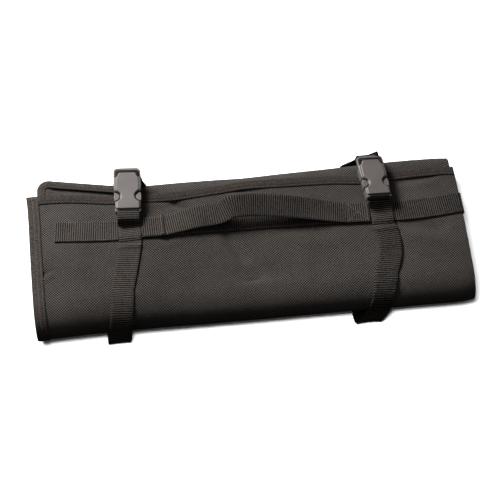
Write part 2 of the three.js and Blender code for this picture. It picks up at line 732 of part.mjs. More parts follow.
// Solids for the buckle halves, joined and cut as manifolds
function solid(geometry) {
  const bare = geometry.clone();
  bare.deleteAttribute('normal');
  bare.deleteAttribute('uv');
  const merged = mergeVertices(bare, 1e-4);
  return new wasm.Manifold(new wasm.Mesh({
    numProp: 3,
    vertProperties: new Float32Array(merged.attributes.position.array),
    triVerts: new Uint32Array(merged.index.array),
  }));
}

function geometryOf(manifold) {
  const mesh = manifold.getMesh();
  const geometry = new THREE.BufferGeometry();
  geometry.setAttribute('position', new THREE.BufferAttribute(mesh.vertProperties, 3));
  geometry.setIndex(new THREE.BufferAttribute(mesh.triVerts, 1));
  return geometry;
}

function block(x0, x1, y0, y1, z0, z1) {
  const geometry = new THREE.BoxGeometry(x1 - x0, y1 - y0, z1 - z0);
  geometry.translate((x0 + x1) / 2, (y0 + y1) / 2, (z0 + z1) / 2);
  return solid(geometry);
}

// A round bar along X
function rod(y, z, radius, half) {
  const geometry = new THREE.CylinderGeometry(radius, radius, 2 * half, 2 * LOOP_STEPS);
  geometry.rotateZ(Math.PI / 2);
  geometry.translate(0, y, z);
  return solid(geometry);
}

function slab(shape, low, high) {
  const geometry = new THREE.ExtrudeGeometry(shape, {
    depth: high - low,
    bevelEnabled: false,
    curveSegments: CURL_STEPS,
  });
  geometry.translate(0, 0, low);
  return solid(geometry);
}

// An outline in plan from its right-hand corners, mirrored to the left
function mirrored(corners) {
  const left = corners.map(([x, y]) => new THREE.Vector2(-x, y)).reverse();
  return new THREE.Shape([...corners.map(([x, y]) => new THREE.Vector2(x, y)), ...left]);
}

function disc(x, y, radius) {
  const shape = new THREE.Shape();
  shape.absarc(x, y, radius, 0, 2 * Math.PI, false);
  return shape;
}

// The socket: a box open at its upper end, a front plate that runs on over the strap's upper loop, side
// windows for the prongs, and a slot and bar at the lower end
function buckleSocket() {
  const half = BUCKLE_WIDTH / 2;
  const slotHalf = STRAP_WIDTH / 2 + 2 * GAP;
  const floorOfSlot = BAR + LOWER_SLOT;
  const chamfer = SOCKET_CHAMFER;
  const body = slab(mirrored([
    [half - chamfer / 2, 0],
    [half - chamfer / 4, floorOfSlot],
    [half, floorOfSlot + 2 * chamfer],
    [half, SOCKET_DEPTH],
  ]), 0, PLATE_LOW);
  const plate = slab(mirrored([
    [half - chamfer, 0],
    [half - chamfer / 2, floorOfSlot],
    [half - chamfer / 2, SOCKET_DEPTH - chamfer],
    [slotHalf - GAP, SOCKET_DEPTH],
    [slotHalf - GAP, PLATE_END - chamfer],
    [slotHalf - GAP - chamfer, PLATE_END],
  ]), PLATE_LOW - GAP, BUCKLE_HEIGHT);
  const past = 1;
  const mouthHalf = half - BUCKLE_SIDE;
  const mouthFloor = floorOfSlot + BUCKLE_BACK;
  const mouth = block(-mouthHalf, mouthHalf, mouthFloor, SOCKET_DEPTH + past, BUCKLE_BACK, PLATE_LOW);
  const overMouth = block(-half, half, SOCKET_DEPTH, BUCKLE_LENGTH, 0, PLATE_LOW);
  const slot = block(-slotHalf, slotHalf, -past, floorOfSlot, -past, BUCKLE_HEIGHT + past);
  const bar = rod(BAR / 2, BAR_HEIGHT, BAR / 2, slotHalf + GAP);
  const window = (side) => (
    slab(disc(side * (half + WINDOW_OUT), WINDOW_PLACE, WINDOW_RADIUS), -past, BUCKLE_HEIGHT + past));
  const cuts = [mouth, overMouth, slot, window(-1), window(1)];
  return cuts.reduce((whole, cut) => whole.subtract(cut), body.add(plate)).add(bar);
}

// The plug: a frame with a top bar, a hidden inner bar for the strap, and two sprung prongs whose tabs show
// in the socket's windows
function bucklePlug() {
  const half = BUCKLE_WIDTH / 2;
  const railIn = half - RAIL;
  const base = SOCKET_DEPTH + GAP;
  const low = BUCKLE_BACK + GAP;
  const high = PLATE_LOW - GAP;
  const baseEnd = INNER_BAR_PLACE - INNER_LOOP - STRAP_THICK / 2 - GAP;
  const frameTop = PLATE_LOW + STRAP_THICK;
  const room = half - BUCKLE_SIDE - GAP;
  const rails = slab(mirrored([
    [half, base],
    [half, BUCKLE_LENGTH - FRAME_CORNER],
    [half - FRAME_CORNER / 3, BUCKLE_LENGTH - FRAME_CORNER / 3],
    [half - FRAME_CORNER, BUCKLE_LENGTH],
  ]), low - GAP, frameTop);
  const past = 1;
  const underLoop = INNER_BAR_HEIGHT - INNER_LOOP + STRAP_THICK / 2 + GAP;
  const opening = block(-railIn, railIn, base, PLATE_END + FRAME_SLOT, 0, frameTop + past);
  const underFrame = block(-railIn, railIn, PLATE_END, BUCKLE_LENGTH + past, 0, underLoop);
  const crossPiece = block(-half + GAP, half - GAP, base, baseEnd, low - GAP, high);
  const bar = rod(INNER_BAR_PLACE, INNER_BAR_HEIGHT, INNER_BAR / 2, railIn + GAP);
  const tab = WINDOW_RADIUS - PRONG_NOSE;
  const nose = WINDOW_PLACE - tab - PRONG_NOSE;
  const prong = (side) => slab(new THREE.Shape([
    [room - PRONG_WIDTH, base + PLUG_JOIN],
    [room - PRONG_WIDTH, nose],
    [room - PRONG_NOSE, nose],
    [half - GAP, WINDOW_PLACE - tab / 2],
    [half - GAP, WINDOW_PLACE + tab / 2],
    [room, WINDOW_PLACE + tab],
    [room, base + PLUG_JOIN],
  ].map(([x, y]) => new THREE.Vector2(side * x, y))), low, high);
  const tongue = block(-TONGUE_WIDTH / 2, TONGUE_WIDTH / 2, nose, base + PLUG_JOIN, low, high);
  const frame = rails.subtract(opening).subtract(underFrame);
  return [crossPiece, bar, prong(1), prong(-1), tongue].reduce((whole, piece) => whole.add(piece), frame);
}

function mesh(name, geometry, finish) {
  const made = new THREE.Mesh(geometry, new THREE.MeshStandardMaterial(FINISH[finish]));
  made.name = name;
  return made;
}

const roll = new THREE.Group();
roll.add(mesh('roll_sheet', rollSheet(), 'cloth'));
roll.add(mesh('end_binding', endBinding(), 'binding'));
roll.add(mesh('edge_binding', edgeBinding(), 'binding'));
roll.add(mesh('inner_flap', innerFlap(), 'cloth'));
roll.add(mesh('flap_binding', flapBinding(), 'binding'));
roll.add(mesh('handle_tape', handleTape(), 'webbing'));
roll.add(mesh('handle_grip', handleGrip(), 'webbing'));
for (const strap of STRAPS) {
  roll.add(mesh(`strap_${strap.name}`, strapBand(strap), 'webbing'));
  const buckle = new THREE.Group();
  buckle.applyMatrix4(buckleFrame(strap));
  buckle.add(mesh(`buckle_${strap.name}_socket`, geometryOf(buckleSocket()), 'plastic'));
  buckle.add(mesh(`buckle_${strap.name}_plug`, geometryOf(bucklePlug()), 'plastic'));
  roll.add(buckle);
}

// The origin is under the middle of the whole thing
const bounds = new THREE.Box3().setFromObject(roll);
const middle = bounds.getCenter(new THREE.Vector3());
roll.position.set(-middle.x, -middle.y, -bounds.min.z);

export default roll;
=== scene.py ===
# %% [markdown]
# A chef's knife roll, rolled up and buckled shut
#
# The real thing is a padded cloth sheet, about 490 mm long, rolled into a flattened spiral. Its raw edges
# are bound with tape, a webbing handle is sewn across it, and two webbing straps with side-release buckles
# keep it shut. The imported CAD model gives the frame. Every piece below is made in metres in that frame, and
# all but the stitches stand for one of the CAD's solids.

import math

import bpy
import bmesh
import numpy as np
from mathutils import Matrix, Vector


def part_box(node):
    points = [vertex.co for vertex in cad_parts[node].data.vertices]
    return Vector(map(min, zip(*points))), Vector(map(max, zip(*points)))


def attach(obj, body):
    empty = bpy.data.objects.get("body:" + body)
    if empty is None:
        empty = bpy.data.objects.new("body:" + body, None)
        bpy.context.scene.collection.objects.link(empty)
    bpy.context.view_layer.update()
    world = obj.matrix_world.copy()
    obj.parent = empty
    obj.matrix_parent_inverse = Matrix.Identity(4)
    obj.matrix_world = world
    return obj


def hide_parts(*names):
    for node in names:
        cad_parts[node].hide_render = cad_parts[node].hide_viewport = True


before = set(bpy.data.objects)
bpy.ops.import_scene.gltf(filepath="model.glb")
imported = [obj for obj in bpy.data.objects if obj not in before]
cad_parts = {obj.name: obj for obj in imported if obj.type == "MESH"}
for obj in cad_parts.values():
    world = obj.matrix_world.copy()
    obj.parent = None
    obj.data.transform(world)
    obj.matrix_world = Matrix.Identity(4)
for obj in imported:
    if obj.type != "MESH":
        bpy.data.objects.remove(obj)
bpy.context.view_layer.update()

# %% [markdown]
# Sizes
#
# These are the sizes that the pieces share. Lengths are written in millimetres and turned into metres once,
# here, so that the numbers read as a maker would give them.

# %% Shared sizes
MM = 0.001
LENGTH = 488 * MM
DEPTH = 183 * MM
THICK = 43 * MM
WALL = 2.4 * MM
LAYER_PITCH = 5.6 * MM
END_STEP = 2.5 * MM
CROWN = 1.6 * MM
GAP = 0.3 * MM
STRAP_WIDTH = 25 * MM
STRAP_THICK = 1.5 * MM
HANDLE_WIDTH = 26 * MM
HANDLE_THICK = 1.4 * MM
RIB_PITCH = 2.45 * MM
FLOOR = STRAP_THICK + GAP
print("layers under the panel:", round((THICK - WALL) / LAYER_PITCH, 1))

# %% [markdown]
# The roll's cross section changes along its length, so it is given as a table of stations. A smooth curve
# through the rows gives any section in between. Shares keep the table readable: at is a share of the
# length, top of the thickness, and front, edge and back are shares of the depth for the front fold, the
# panel's bound edge and the rear fold. lift is how far the panel rises where it lies over the inner flap.
# The rows were fitted to the photo, so they differ from the CAD's by a few
# millimetres.

# %% Stations along the roll
COLUMNS = ("at", "top", "front", "edge", "back", "lift")
STATIONS = [
    (0.00, 1.00, 0.012, 0.916, 0.992, 1.00),
    (0.04, 1.00, 0.010, 0.924, 0.996, 1.00),
    (0.10, 1.00, 0.014, 0.914, 1.000, 1.00),
    (0.19, 1.00, 0.015, 0.878, 1.004, 1.00),
    (0.28, 1.00, 0.013, 0.868, 1.010, 0.92),
    (0.36, 1.00, 0.011, 0.876, 1.009, 0.35),
    (0.44, 1.00, 0.009, 0.892, 1.004, 0.00),
    (0.50, 1.00, 0.006, 0.906, 0.998, 0.00),
    (0.60, 1.00, 0.004, 0.899, 1.003, 0.00),
    (0.70, 0.99, 0.001, 0.888, 1.007, 0.00),
    (0.78, 0.98, -0.002, 0.866, 1.013, 0.00),
    (0.88, 0.97, -0.006, 0.879, 1.017, 0.00),
    (0.97, 0.96, -0.008, 0.882, 1.012, 0.00),
    (1.00, 0.95, 0.002, 0.874, 1.006, 0.00),
]
PANEL_RISE = 4.4 * MM


def smooth_value(table, key, at):
    """Value of a table's column at a place along its rows, on a smooth curve through them."""
    places = [row[0] for row in table]
    values = [row[key] for row in table]
    last = len(table) - 1
    x = min(max(at, places[0]), places[last])
    i = 0
    while i < last - 1 and places[i + 1] < x:
        i += 1
    before, after = max(i - 1, 0), min(i + 2, last)
    span = places[i + 1] - places[i]
    t = (x - places[i]) / span
    leave = (values[i + 1] - values[before]) / (places[i + 1] - places[before]) * span
    arrive = (values[after] - values[i]) / (places[after] - places[i]) * span
    return (values[i] * (2 * t**3 - 3 * t**2 + 1) + leave * (t**3 - 2 * t**2 + t)
            + values[i + 1] * (3 * t**2 - 2 * t**3) + arrive * (t**3 - t**2))


def station(share):
    """The section's measures at a share of the length, by name."""
    return {name: smooth_value(STATIONS, k, share) for k, name in enumerate(COLUMNS)}


# The CAD's front fold reaches this share of the depth past the roll's own zero line.
CAD_FRONT = -0.016
sheet_low, sheet_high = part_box("roll_sheet")
ORIGIN = Vector(((sheet_low.x + sheet_high.x) / 2, sheet_low.y - CAD_FRONT * DEPTH, 0))
print("front line of the roll at y =", round(ORIGIN.y / MM, 2), "mm")


def x_at(share):
    return (share - 0.5) * LENGTH


def share_at(x):
    return x / LENGTH + 0.5


LEFT_TRIM, LEFT_NOSE_TRIM, LEFT_REACH = 1.8 * MM, 1.5 * MM, 0.30
RIGHT_TRIM, RIGHT_NOSE_TRIM, RIGHT_REACH = 0.4 * MM, 2.2 * MM, 0.25
TRIM_FROM, TRIM_FADE = 0.92, 0.08


def end_trim(x, y):
    """The roll's two ends draw in a little towards the front fold, the left one in a hollow curve."""
    depth = np.clip(y / DEPTH, 0, 1)
    ahead = np.maximum(TRIM_FROM - depth, 0)
    left = LEFT_TRIM * (1 - np.exp(-ahead / TRIM_FADE)) + LEFT_NOSE_TRIM * (1 - depth) ** 3
    right = RIGHT_TRIM + RIGHT_NOSE_TRIM * (1 - depth) ** 2
    near_left = np.clip(1 - share_at(x) / LEFT_REACH, 0, 1)
    near_right = np.clip(1 - (0.5 - x / LENGTH) / RIGHT_REACH, 0, 1)
    return left * near_left - right * near_right


# %% Helpers for objects, materials and node trees
def add_object(name, data):
    made = bpy.data.objects.new(name, data)
    bpy.context.scene.collection.objects.link(made)
    return made


def fill_inputs(tree, node, inputs):
    """Links the sockets among the inputs, and sets the plain values."""
    for key, value in inputs.items():
        if isinstance(value, bpy.types.NodeSocket):
            tree.links.new(value, node.inputs[key])
        else:
            node.inputs[key].default_value = value


def add_node(tree, kind, inputs=None, **settings):
    """A node with its settings, its plain input values and its links in one call."""
    made = tree.nodes.new(kind)
    for key, value in settings.items():
        setattr(made, key, value)
    fill_inputs(tree, made, inputs or {})
    return made


def maths(tree, operation, a, b=0.0, c=0.0):
    return add_node(tree, "ShaderNodeMath", {0: a, 1: b, 2: c}, operation=operation).outputs[0]


def new_material(name):
    """A material, with its node tree and its shader."""
    made = bpy.data.materials.new(name)
    made.use_nodes = True
    return made, made.node_tree, made.node_tree.nodes["Principled BSDF"]


# %% [markdown]
# Camera
#
# The photo looks down on the roll from the front, a little from its left. A long lens keeps the two ends
# nearly parallel, as they are in the picture.

# %% Place the camera
AZIMUTH, ELEVATION, DISTANCE, LENS = -6.5, 60.0, 1.63, 104.3
TARGET = Vector((0, -3.8 * MM, 25 * MM))
turn, tilt = math.radians(AZIMUTH), math.radians(ELEVATION)
towards = Vector((math.sin(turn) * math.cos(tilt), -math.cos(turn) * math.cos(tilt), math.sin(tilt)))
camera = add_object("camera", bpy.data.cameras.new("camera"))
camera.data.lens = LENS
camera.data.sensor_width = 36
camera.location = TARGET + towards * DISTANCE
camera.rotation_mode = "QUATERNION"
camera.rotation_quaternion = towards.to_track_quat("Z", "Y")
bpy.context.scene.camera = camera
print("camera at", [round(c, 3) for c in camera.location])

# %% [markdown]
# Floor and light
#
# The roll is lit by a soft lamp high up behind it and to its left: the panel is evenly bright, the front
# fold falls into black and the buckle's plates catch a reflection. In the photo the floor is clean white
# with a narrow shadow, so it has a lamp of its own beside the camera, and it throws no light back up at the
# cloth.


# %% Lamps and world
def area_light(name, place, aim, size, watts, only=None):
    """A soft rectangular lamp that looks at a point, and lights only one object if asked."""
    light = bpy.data.lights.new(name, "AREA")
    light.shape = "RECTANGLE"
    light.size, light.size_y = size
    light.energy = watts
    lamp = add_object(name, light)
    lamp.location = place
    lamp.rotation_mode = "QUATERNION"
    lamp.rotation_quaternion = (Vector(place) - Vector(aim)).to_track_quat("Z", "Y")
    if only is not None:
        lit = bpy.data.collections.new(name + "_lights")
        lit.objects.link(only)
        lamp.light_linking.receiver_collection = lit


def studio_world():
    """White overhead, fading to nothing at the horizon and black below it."""
    made = bpy.data.worlds.new("studio")
    made.use_nodes = True
    tree = made.node_tree
    way = add_node(tree, "ShaderNodeTexCoord").outputs["Generated"]
    height = add_node(tree, "ShaderNodeSeparateXYZ", {0: way}).outputs[2]
    glow = add_node(tree, "ShaderNodeMapRange", {0: height, 1: 0.1, 2: 1.0, 3: 0.0, 4: 0.25}).outputs[0]
    fill_inputs(tree, tree.nodes["Background"], {"Strength": glow, "Color": (1, 1, 1, 1)})
    return made


bpy.context.scene.world = studio_world()
bpy.context.scene.view_settings.view_transform = "Standard"


# %% Lay the floor
def floor_material():
    made, tree, shader = new_material("floor_white")
    fill_inputs(tree, shader, {"Base Color": (0.93, 0.93, 0.93, 1), "Roughness": 0.9})
    return made


floor_mesh = bpy.data.meshes.new("floor")
floor_mesh.from_pydata([(-3, -3, 0), (3, -3, 0), (3, 3, 0), (-3, 3, 0)], [], [(0, 1, 2, 3)])
floor_mesh.materials.append(floor_material())
floor = add_object("floor", floor_mesh)
floor.visible_diffuse = False
floor.visible_glossy = False
area_light("key_light", (-0.76, 0.98, 1.02), (0, 0, 0.03), (0.6, 0.5), 55)
area_light("floor_wash", (-0.20, -0.50, 1.70), (0, 0, 0), (0.5, 0.4), 44, only=floor)
print("floor laid and lit")

# %% [markdown]
# Cloth
#
# The sheet is coated polyester in a plain basket weave. Its threads pass over and under each other in
# pairs, which gives fine dots in diagonal rows. The weave is drawn in the cloth's own UV map, where one
# unit is one metre of cloth, so that it follows every fold. Soft patches of wear and a little sheen keep it
# from looking like card.


# %% Cloth material
def wave(tree, coordinate, pitch, phase=0.0):
    """A sine wave along one coordinate, from -1 to 1, with a period of pitch metres."""
    angle = maths(tree, "MULTIPLY_ADD", coordinate, 2 * math.pi / pitch, phase)
    return maths(tree, "SINE", angle)


def cloth_uv(tree):
    uv = add_node(tree, "ShaderNodeUVMap", uv_map="cloth").outputs[0]
    parts = add_node(tree, "ShaderNodeSeparateXYZ", {0: uv})
    return parts.outputs[0], parts.outputs[1]


def patches(tree, scale, detail=3.0, rough=0.6):
    place = add_node(tree, "ShaderNodeTexCoord").outputs["Object"]
    return add_node(tree, "ShaderNodeTexNoise", {"Vector": place, "Scale": scale, "Detail": detail,
                                                 "Roughness": rough}).outputs[0]


def ramp(tree, value, low, high, to_low, to_high):
    return add_node(tree, "ShaderNodeMapRange", {0: value, 1: low, 2: high, 3: to_low, 4: to_high}).outputs[0]


def tinted(tree, factor, dark, pale):
    return add_node(tree, "ShaderNodeMix", {"Factor": factor, 6: (*dark, 1), 7: (*pale, 1)},
                    data_type="RGBA").outputs[2]


def bump(tree, height, distance, strength):
    return add_node(tree, "ShaderNodeBump",
                    {"Height": height, "Distance": distance, "Strength": strength}).outputs[0]


WOVEN = {"Sheen Weight": 0.02, "Specular IOR Level": 0.12}


def cloth_material(name, dark, pale, thread=1.50 * MM):
    made, tree, shader = new_material(name)
    u, v = cloth_uv(tree)
    over = maths(tree, "MULTIPLY", wave(tree, u, 2 * thread), wave(tree, v, 2 * thread))
    fibres = maths(tree, "MULTIPLY", wave(tree, u, thread / 3), wave(tree, v, thread / 3))
    weave = maths(tree, "MULTIPLY_ADD", fibres, 0.25, over)
    slub = patches(tree, 900.0, 2.0)
    wear = patches(tree, 9.0, 4.0)
    tone = maths(tree, "MULTIPLY_ADD", weave, 1.05, ramp(tree, wear, 0.3, 0.7, 0.16, 0.50))
    tone = maths(tree, "ADD", tone, ramp(tree, slub, 0.3, 0.7, -0.22, 0.22))
    height = maths(tree, "MULTIPLY_ADD", slub, 0.6, weave)
    lumps = maths(tree, "MULTIPLY_ADD", patches(tree, 60.0, 3.0), 2.2, height)
    fill_inputs(tree, shader, {
        "Base Color": tinted(tree, tone, dark, pale),
        "Roughness": ramp(tree, wear, 0.3, 0.7, 0.86, 0.74),
        "Normal": bump(tree, lumps, 0.5 * MM, 0.7), "Sheen Roughness": 0.5, **WOVEN})
    return made


roll_cloth = cloth_material("roll_cloth", (0.003, 0.0026, 0.0023), (0.120, 0.105, 0.093))
print("cloth:", roll_cloth.name)

# %% [markdown]
# The panel's creases
#
# The cloth has been rolled many times, so its panel keeps a few shallow hollows and creases. Hollows are soft
# bowls. A crease is a narrow valley beside a low ridge, along a line from one place to another.

# %% Hollows and creases
HOLLOWS = [
    # at, across, half length, half width, depth in mm
    (0.335, 0.765, 0.045, 0.070, 2.2),
    (0.475, 0.420, 0.055, 0.100, 2.1),
    (0.515, 0.250, 0.050, 0.050, 1.5),
    (0.620, 0.790, 0.060, 0.050, 1.4),
    (0.930, 0.450, 0.050, 0.120, 1.7),
]
CREASES = [
    # from at, across, to at, across, width in mm, depth in mm
    (0.325, 0.800, 0.372, 0.742, 5.0, 2.7),
    (0.440, 0.560, 0.488, 0.310, 6.0, 2.5),
    (0.446, 0.159, 0.520, 0.214, 4.0, 1.8),
    (0.012, 0.350, 0.045, 0.395, 3.5, 1.7),
    (0.268, 0.600, 0.330, 0.520, 7.0, 1.4),
    (0.560, 0.560, 0.700, 0.470, 9.0, 1.3),
    (0.845, 0.500, 0.960, 0.420, 8.0, 1.7),
    (0.120, 0.520, 0.190, 0.330, 9.0, 1.3),
    (0.240, 0.840, 0.330, 0.815, 4.0, 1.4),
    (0.470, 0.850, 0.560, 0.800, 5.0, 1.4),
    (0.840, 0.790, 0.960, 0.815, 5.0, 1.3),
]


RIDGE_SHARE, RIDGE_ASIDE = 0.6, 1.6


def panel_relief(share, y, edge, brow):
    """How far the panel stands above or below a flat layer, in metres."""
    run = min(max((edge - y) / (edge - brow), 0), 1)
    height = CROWN * math.sin(math.pi * run)
    for at, across, long, wide, deep in HOLLOWS:
        height -= deep * MM * math.exp(-((share - at) / long) ** 2 - ((y / DEPTH - across) / wide) ** 2)
    return height


def crease_relief(x, y):
    """The same for the creases, for arrays of places."""
    height = np.zeros_like(x)
    for at0, across0, at1, across1, width, deep in CREASES:
        start = np.array([x_at(at0), across0 * DEPTH])
        end = np.array([x_at(at1), across1 * DEPTH])
        way = end - start
        size = np.linalg.norm(way)
        along = ((x - start[0]) * way[0] + (y - start[1]) * way[1]) / size**2
        side = ((x - start[0]) * way[1] - (y - start[1]) * way[0]) / size
        fade = np.clip(1.0 - (2 * np.abs(along - 0.5)) ** 4, 0, 1) * (np.abs(along - 0.5) < 0.5)
        width = width * MM
        valley = -np.exp(-(side / width) ** 2)
        ridge = RIDGE_SHARE * np.exp(-((side - RIDGE_ASIDE * width) / width) ** 2)
        height += deep * MM * fade * (valley + ridge)
    return height


print(len(HOLLOWS), "hollows and", len(CREASES), "creases")

# %% [markdown]
# The rolled sheet
#
# A spiral follows a rule, so it is worked out section by section: the flat panel, the big front fold, the
# layer underneath, the rear fold and so on inwards. The sections are joined into a grid of points along the
# sheet's middle, and the grid is given the cloth's thickness on both sides, with its edges rounded off.

# %% Sections of the spiral
PANEL_STEPS, FOLD_STEPS, FLAT_STEPS = 62, 22, 12
FRONT_ROUND, REAR_ROUND, INNER_END = 1.60, 0.95, 0.68
BINDING = 1.0 * MM


def half_round(middle, reach, high, low, start, steps):
    angles = start + np.linspace(0, math.pi, steps + 1)
    return middle + reach * np.cos(angles), (high + low) / 2 + (high - low) / 2 * np.sin(angles)


def panel_lines(s):
    """From a station: heights of panel and flat roof, then the lines of front, brow and bound edge."""
    roof = FLOOR + s["top"] * THICK - WALL / 2
    panel = roof + s["lift"] * PANEL_RISE
    front = s["front"] * DEPTH + WALL / 2
    brow = front + FRONT_ROUND * (panel - FLOOR - WALL / 2) / 2
    return panel, roof, front, brow, s["edge"] * DEPTH - BINDING - GAP


def section(share):
    """The sheet's middle line in one section: y, z and how far that layer stops short of the roll's ends."""
    s = station(share)
    panel, roof, front, brow, edge = panel_lines(s)
    back = s["back"] * DEPTH - WALL / 2
    lows = [FLOOR + WALL / 2 + turn * LAYER_PITCH for turn in range(3)]
    highs = [panel, roof - LAYER_PITCH, roof - 2 * LAYER_PITCH]
    ys, zs, insets = [], [], []

    def lay(y, z, inset):
        ys.append(y)
        zs.append(np.broadcast_to(z, len(y)))
        insets.append(np.broadcast_to(inset, len(y)))

    panel_ys = np.linspace(edge, brow, PANEL_STEPS, endpoint=False)
    lay(panel_ys, np.array([panel + panel_relief(share, y, edge, brow) for y in panel_ys]), 0.0)
    flat = np.linspace(0, 1, FLAT_STEPS + 1, endpoint=False)[1:]
    for turn in range(3):
        steps = FOLD_STEPS - 5 * turn
        reach = FRONT_ROUND * (highs[turn] - lows[turn]) / 2
        middle = front + turn * LAYER_PITCH + reach
        y, z = half_round(middle, reach, highs[turn], lows[turn], math.pi / 2, steps)
        lay(y, z, turn * END_STEP)
        if turn < 2:
            low, high = lows[turn], highs[turn + 1]
            rise = REAR_ROUND * (high - low) / 2
            y, z = half_round(back - turn * LAYER_PITCH - rise, rise, high, low, -math.pi / 2, steps)
            lay(ys[-1][-1] + (y[0] - ys[-1][-1]) * flat, low, turn * END_STEP)
            lay(y, z, (turn + np.linspace(0, 1, len(y))) * END_STEP)
            next_start = front + (turn + 1) * LAYER_PITCH + FRONT_ROUND * (high - lows[turn + 1]) / 2
            lay(y[-1] + (next_start - y[-1]) * flat, high, (turn + 1) * END_STEP)
    last = np.linspace(0, 1, 6)[1:]
    lay(ys[-1][-1] + (INNER_END * DEPTH - ys[-1][-1]) * last, lows[2], 2 * END_STEP)
    return np.concatenate(ys), np.concatenate(zs), np.concatenate(insets)


# %% Grids of points, and walls made from them
def unit(vectors):
    return vectors / np.maximum(np.linalg.norm(vectors, axis=-1, keepdims=True), 1e-12)


def grid_normals(points):
    """Normals of a grid of points, from its two directions."""
    rows = np.gradient(points, axis=0)
    columns = np.gradient(points, axis=1)
    return unit(np.cross(rows, columns))


def quads_between(first, second, count, closed):
    """Faces between two rows of points that start at the places first and second."""
    steps = np.arange(count if closed else count - 1)
    after = (steps + 1) % count
    return np.stack([first + steps, first + after, second + after, second + steps], axis=1)


def mesh_object(name, points, faces, material, uv=None):
    """A mesh object from lists of points and faces, with the cloth's own UV map if one is given."""
    mesh = bpy.data.meshes.new(name)
    mesh.from_pydata(points, [], faces)
    if uv is not None:
        layer = mesh.uv_layers.new(name="cloth")
        corners = np.zeros(len(mesh.loops), dtype=np.int32)
        mesh.loops.foreach_get("vertex_index", corners)
        layer.data.foreach_set("uv", uv[corners].astype(np.float32).ravel())
    mesh.materials.append(material)
    mesh.shade_smooth()
    return add_object(name, mesh)


def face_outwards(piece, close_ends=False):
    """Fills a piece's open ends if asked, and turns every face outwards."""
    work = bmesh.new()
    work.from_mesh(piece.data)
    if close_ends:
        rims = [e for e in work.edges if e.is_boundary]
        bmesh.ops.holes_fill(work, edges=rims, sides=0)
    bmesh.ops.recalc_face_normals(work, faces=work.faces)
    work.to_mesh(piece.data)
    work.free()


def lengths_along(points, least=0.0):
    """Length along a line at each of its points, with no step shorter than the least."""
    steps = np.maximum(np.linalg.norm(np.diff(points, axis=0), axis=1), least)
    return np.concatenate([[0], np.cumsum(steps)])


def swept(name, points, along, around, material):
    """A closed piece from rings of points. along and around are its UV coordinates."""
    rings, count = points.shape[:2]
    uv = np.stack(np.broadcast_arrays(along[:, None], around[None, :]), axis=-1).reshape(-1, 2)
    faces = [quads_between(i * count, (i + 1) * count, count, True) for i in range(rings - 1)]
    made = mesh_object(name, points.reshape(-1, 3).tolist(), np.concatenate(faces).tolist(), material, uv)
    face_outwards(made, close_ends=True)
    return made


def wall(name, middle, thickness, uv, material, plump):
    """A closed wall round a grid of middle points. plump scales its thickness at each, to round the rims."""
    rows, columns = middle.shape[:2]
    offset = grid_normals(middle) * (thickness / 2 * plump)[..., None]
    points = np.concatenate([(middle + offset).reshape(-1, 3), (middle - offset).reshape(-1, 3)])
    half = rows * columns
    faces = []
    for row in range(rows - 1):
        side = quads_between(row * columns, (row + 1) * columns, columns, False)
        faces += [side, side[:, ::-1] + half]
    first, last = np.arange(columns), (rows - 1) * columns + np.arange(columns)
    left, right = np.arange(rows) * columns, np.arange(rows) * columns + columns - 1
    for line in (first, right, last[::-1], left[::-1]):
        a, b = line[:-1], line[1:]
        faces.append(np.stack([b, a, a + half, b + half], axis=1))
    both_uv = np.tile(uv.reshape(-1, 2), (2, 1))
    made = mesh_object(name, points.tolist(), np.concatenate(faces).tolist(), material, both_uv)
    face_outwards(made)
    return made


# %% Make the rolled sheet
BINDING_END = 12 * MM
plain_end = (BINDING_END + 2 * GAP) / LENGTH
RIM_STEPS = (0.0, 0.3 * MM, 0.8 * MM, 1.4 * MM)
SHEET_STATIONS = 158


def rim_plump(distance, radius=1.2 * MM, least=0.25):
    """Share of the full thickness at a distance from a rounded rim."""
    near = np.clip(1 - distance / radius, 0, 1)
    return np.maximum(np.sqrt(1 - near**2), least)


def sheet_grid():
    """Middle points of the sheet as stations by path points, with its UV and its thickness shares."""
    inner = np.linspace(plain_end, 1 - RIM_STEPS[-1] / LENGTH, SHEET_STATIONS)
    shares = [0.0, 0.5 * plain_end, *inner, *(1 - d / LENGTH for d in RIM_STEPS[-2::-1])]
    rows, uvs, plumps = [], [], []
    for share in shares:
        y, z, inset = section(max(share, plain_end))
        x = (share - 0.5) * (LENGTH - 2 * inset)
        z[:PANEL_STEPS] += crease_relief(x[:PANEL_STEPS], y[:PANEL_STEPS])
        x = x + end_trim(x, y)
        rows.append(np.stack([x, y, z], axis=1))
        uvs.append(np.stack([x, lengths_along(rows[-1][:, 1:])], axis=1))
        plumps.append(rim_plump(np.full(len(y), (1 - share) * LENGTH)))
    return np.array(rows), np.array(uvs), np.array(plumps)


grid, grid_uv, grid_plump = sheet_grid()
grid += np.array(ORIGIN)
roll_sheet = wall("rolled_sheet", grid, WALL, grid_uv, roll_cloth, grid_plump)


def panel_top(x, y):
    """Height of the panel's upper face at a place in the roll's own frame."""
    share = min(max(share_at(x), 0.0), 1.0)
    panel, _, _, brow, edge = panel_lines(station(max(share, plain_end)))
    crease = float(crease_relief(np.array([x]), np.array([y]))[0]) if y < edge else 0.0
    return panel + panel_relief(share, y, edge, brow) + crease + WALL / 2


# %% [markdown]
# Binding tape
#
# The raw edges are wrapped in a narrow tape, folded in a U and sewn through. The tape is swept along each
# edge as a ring of points. Its section is a little crowned and is pinched along the stitch line, so the
# seam shows as a groove. Fine ribs run across the tape.


# %% Binding material
def dress_tape(tree, shader, color, weave, fluff, rough):
    """Colour, roughness and fine relief, alike for bindings and webbing."""
    height = maths(tree, "MULTIPLY_ADD", fluff, 0.8, weave)
    fill_inputs(tree, shader, {"Base Color": color, "Roughness": rough,
                               "Normal": bump(tree, height, 0.25 * MM, 0.6), **WOVEN})


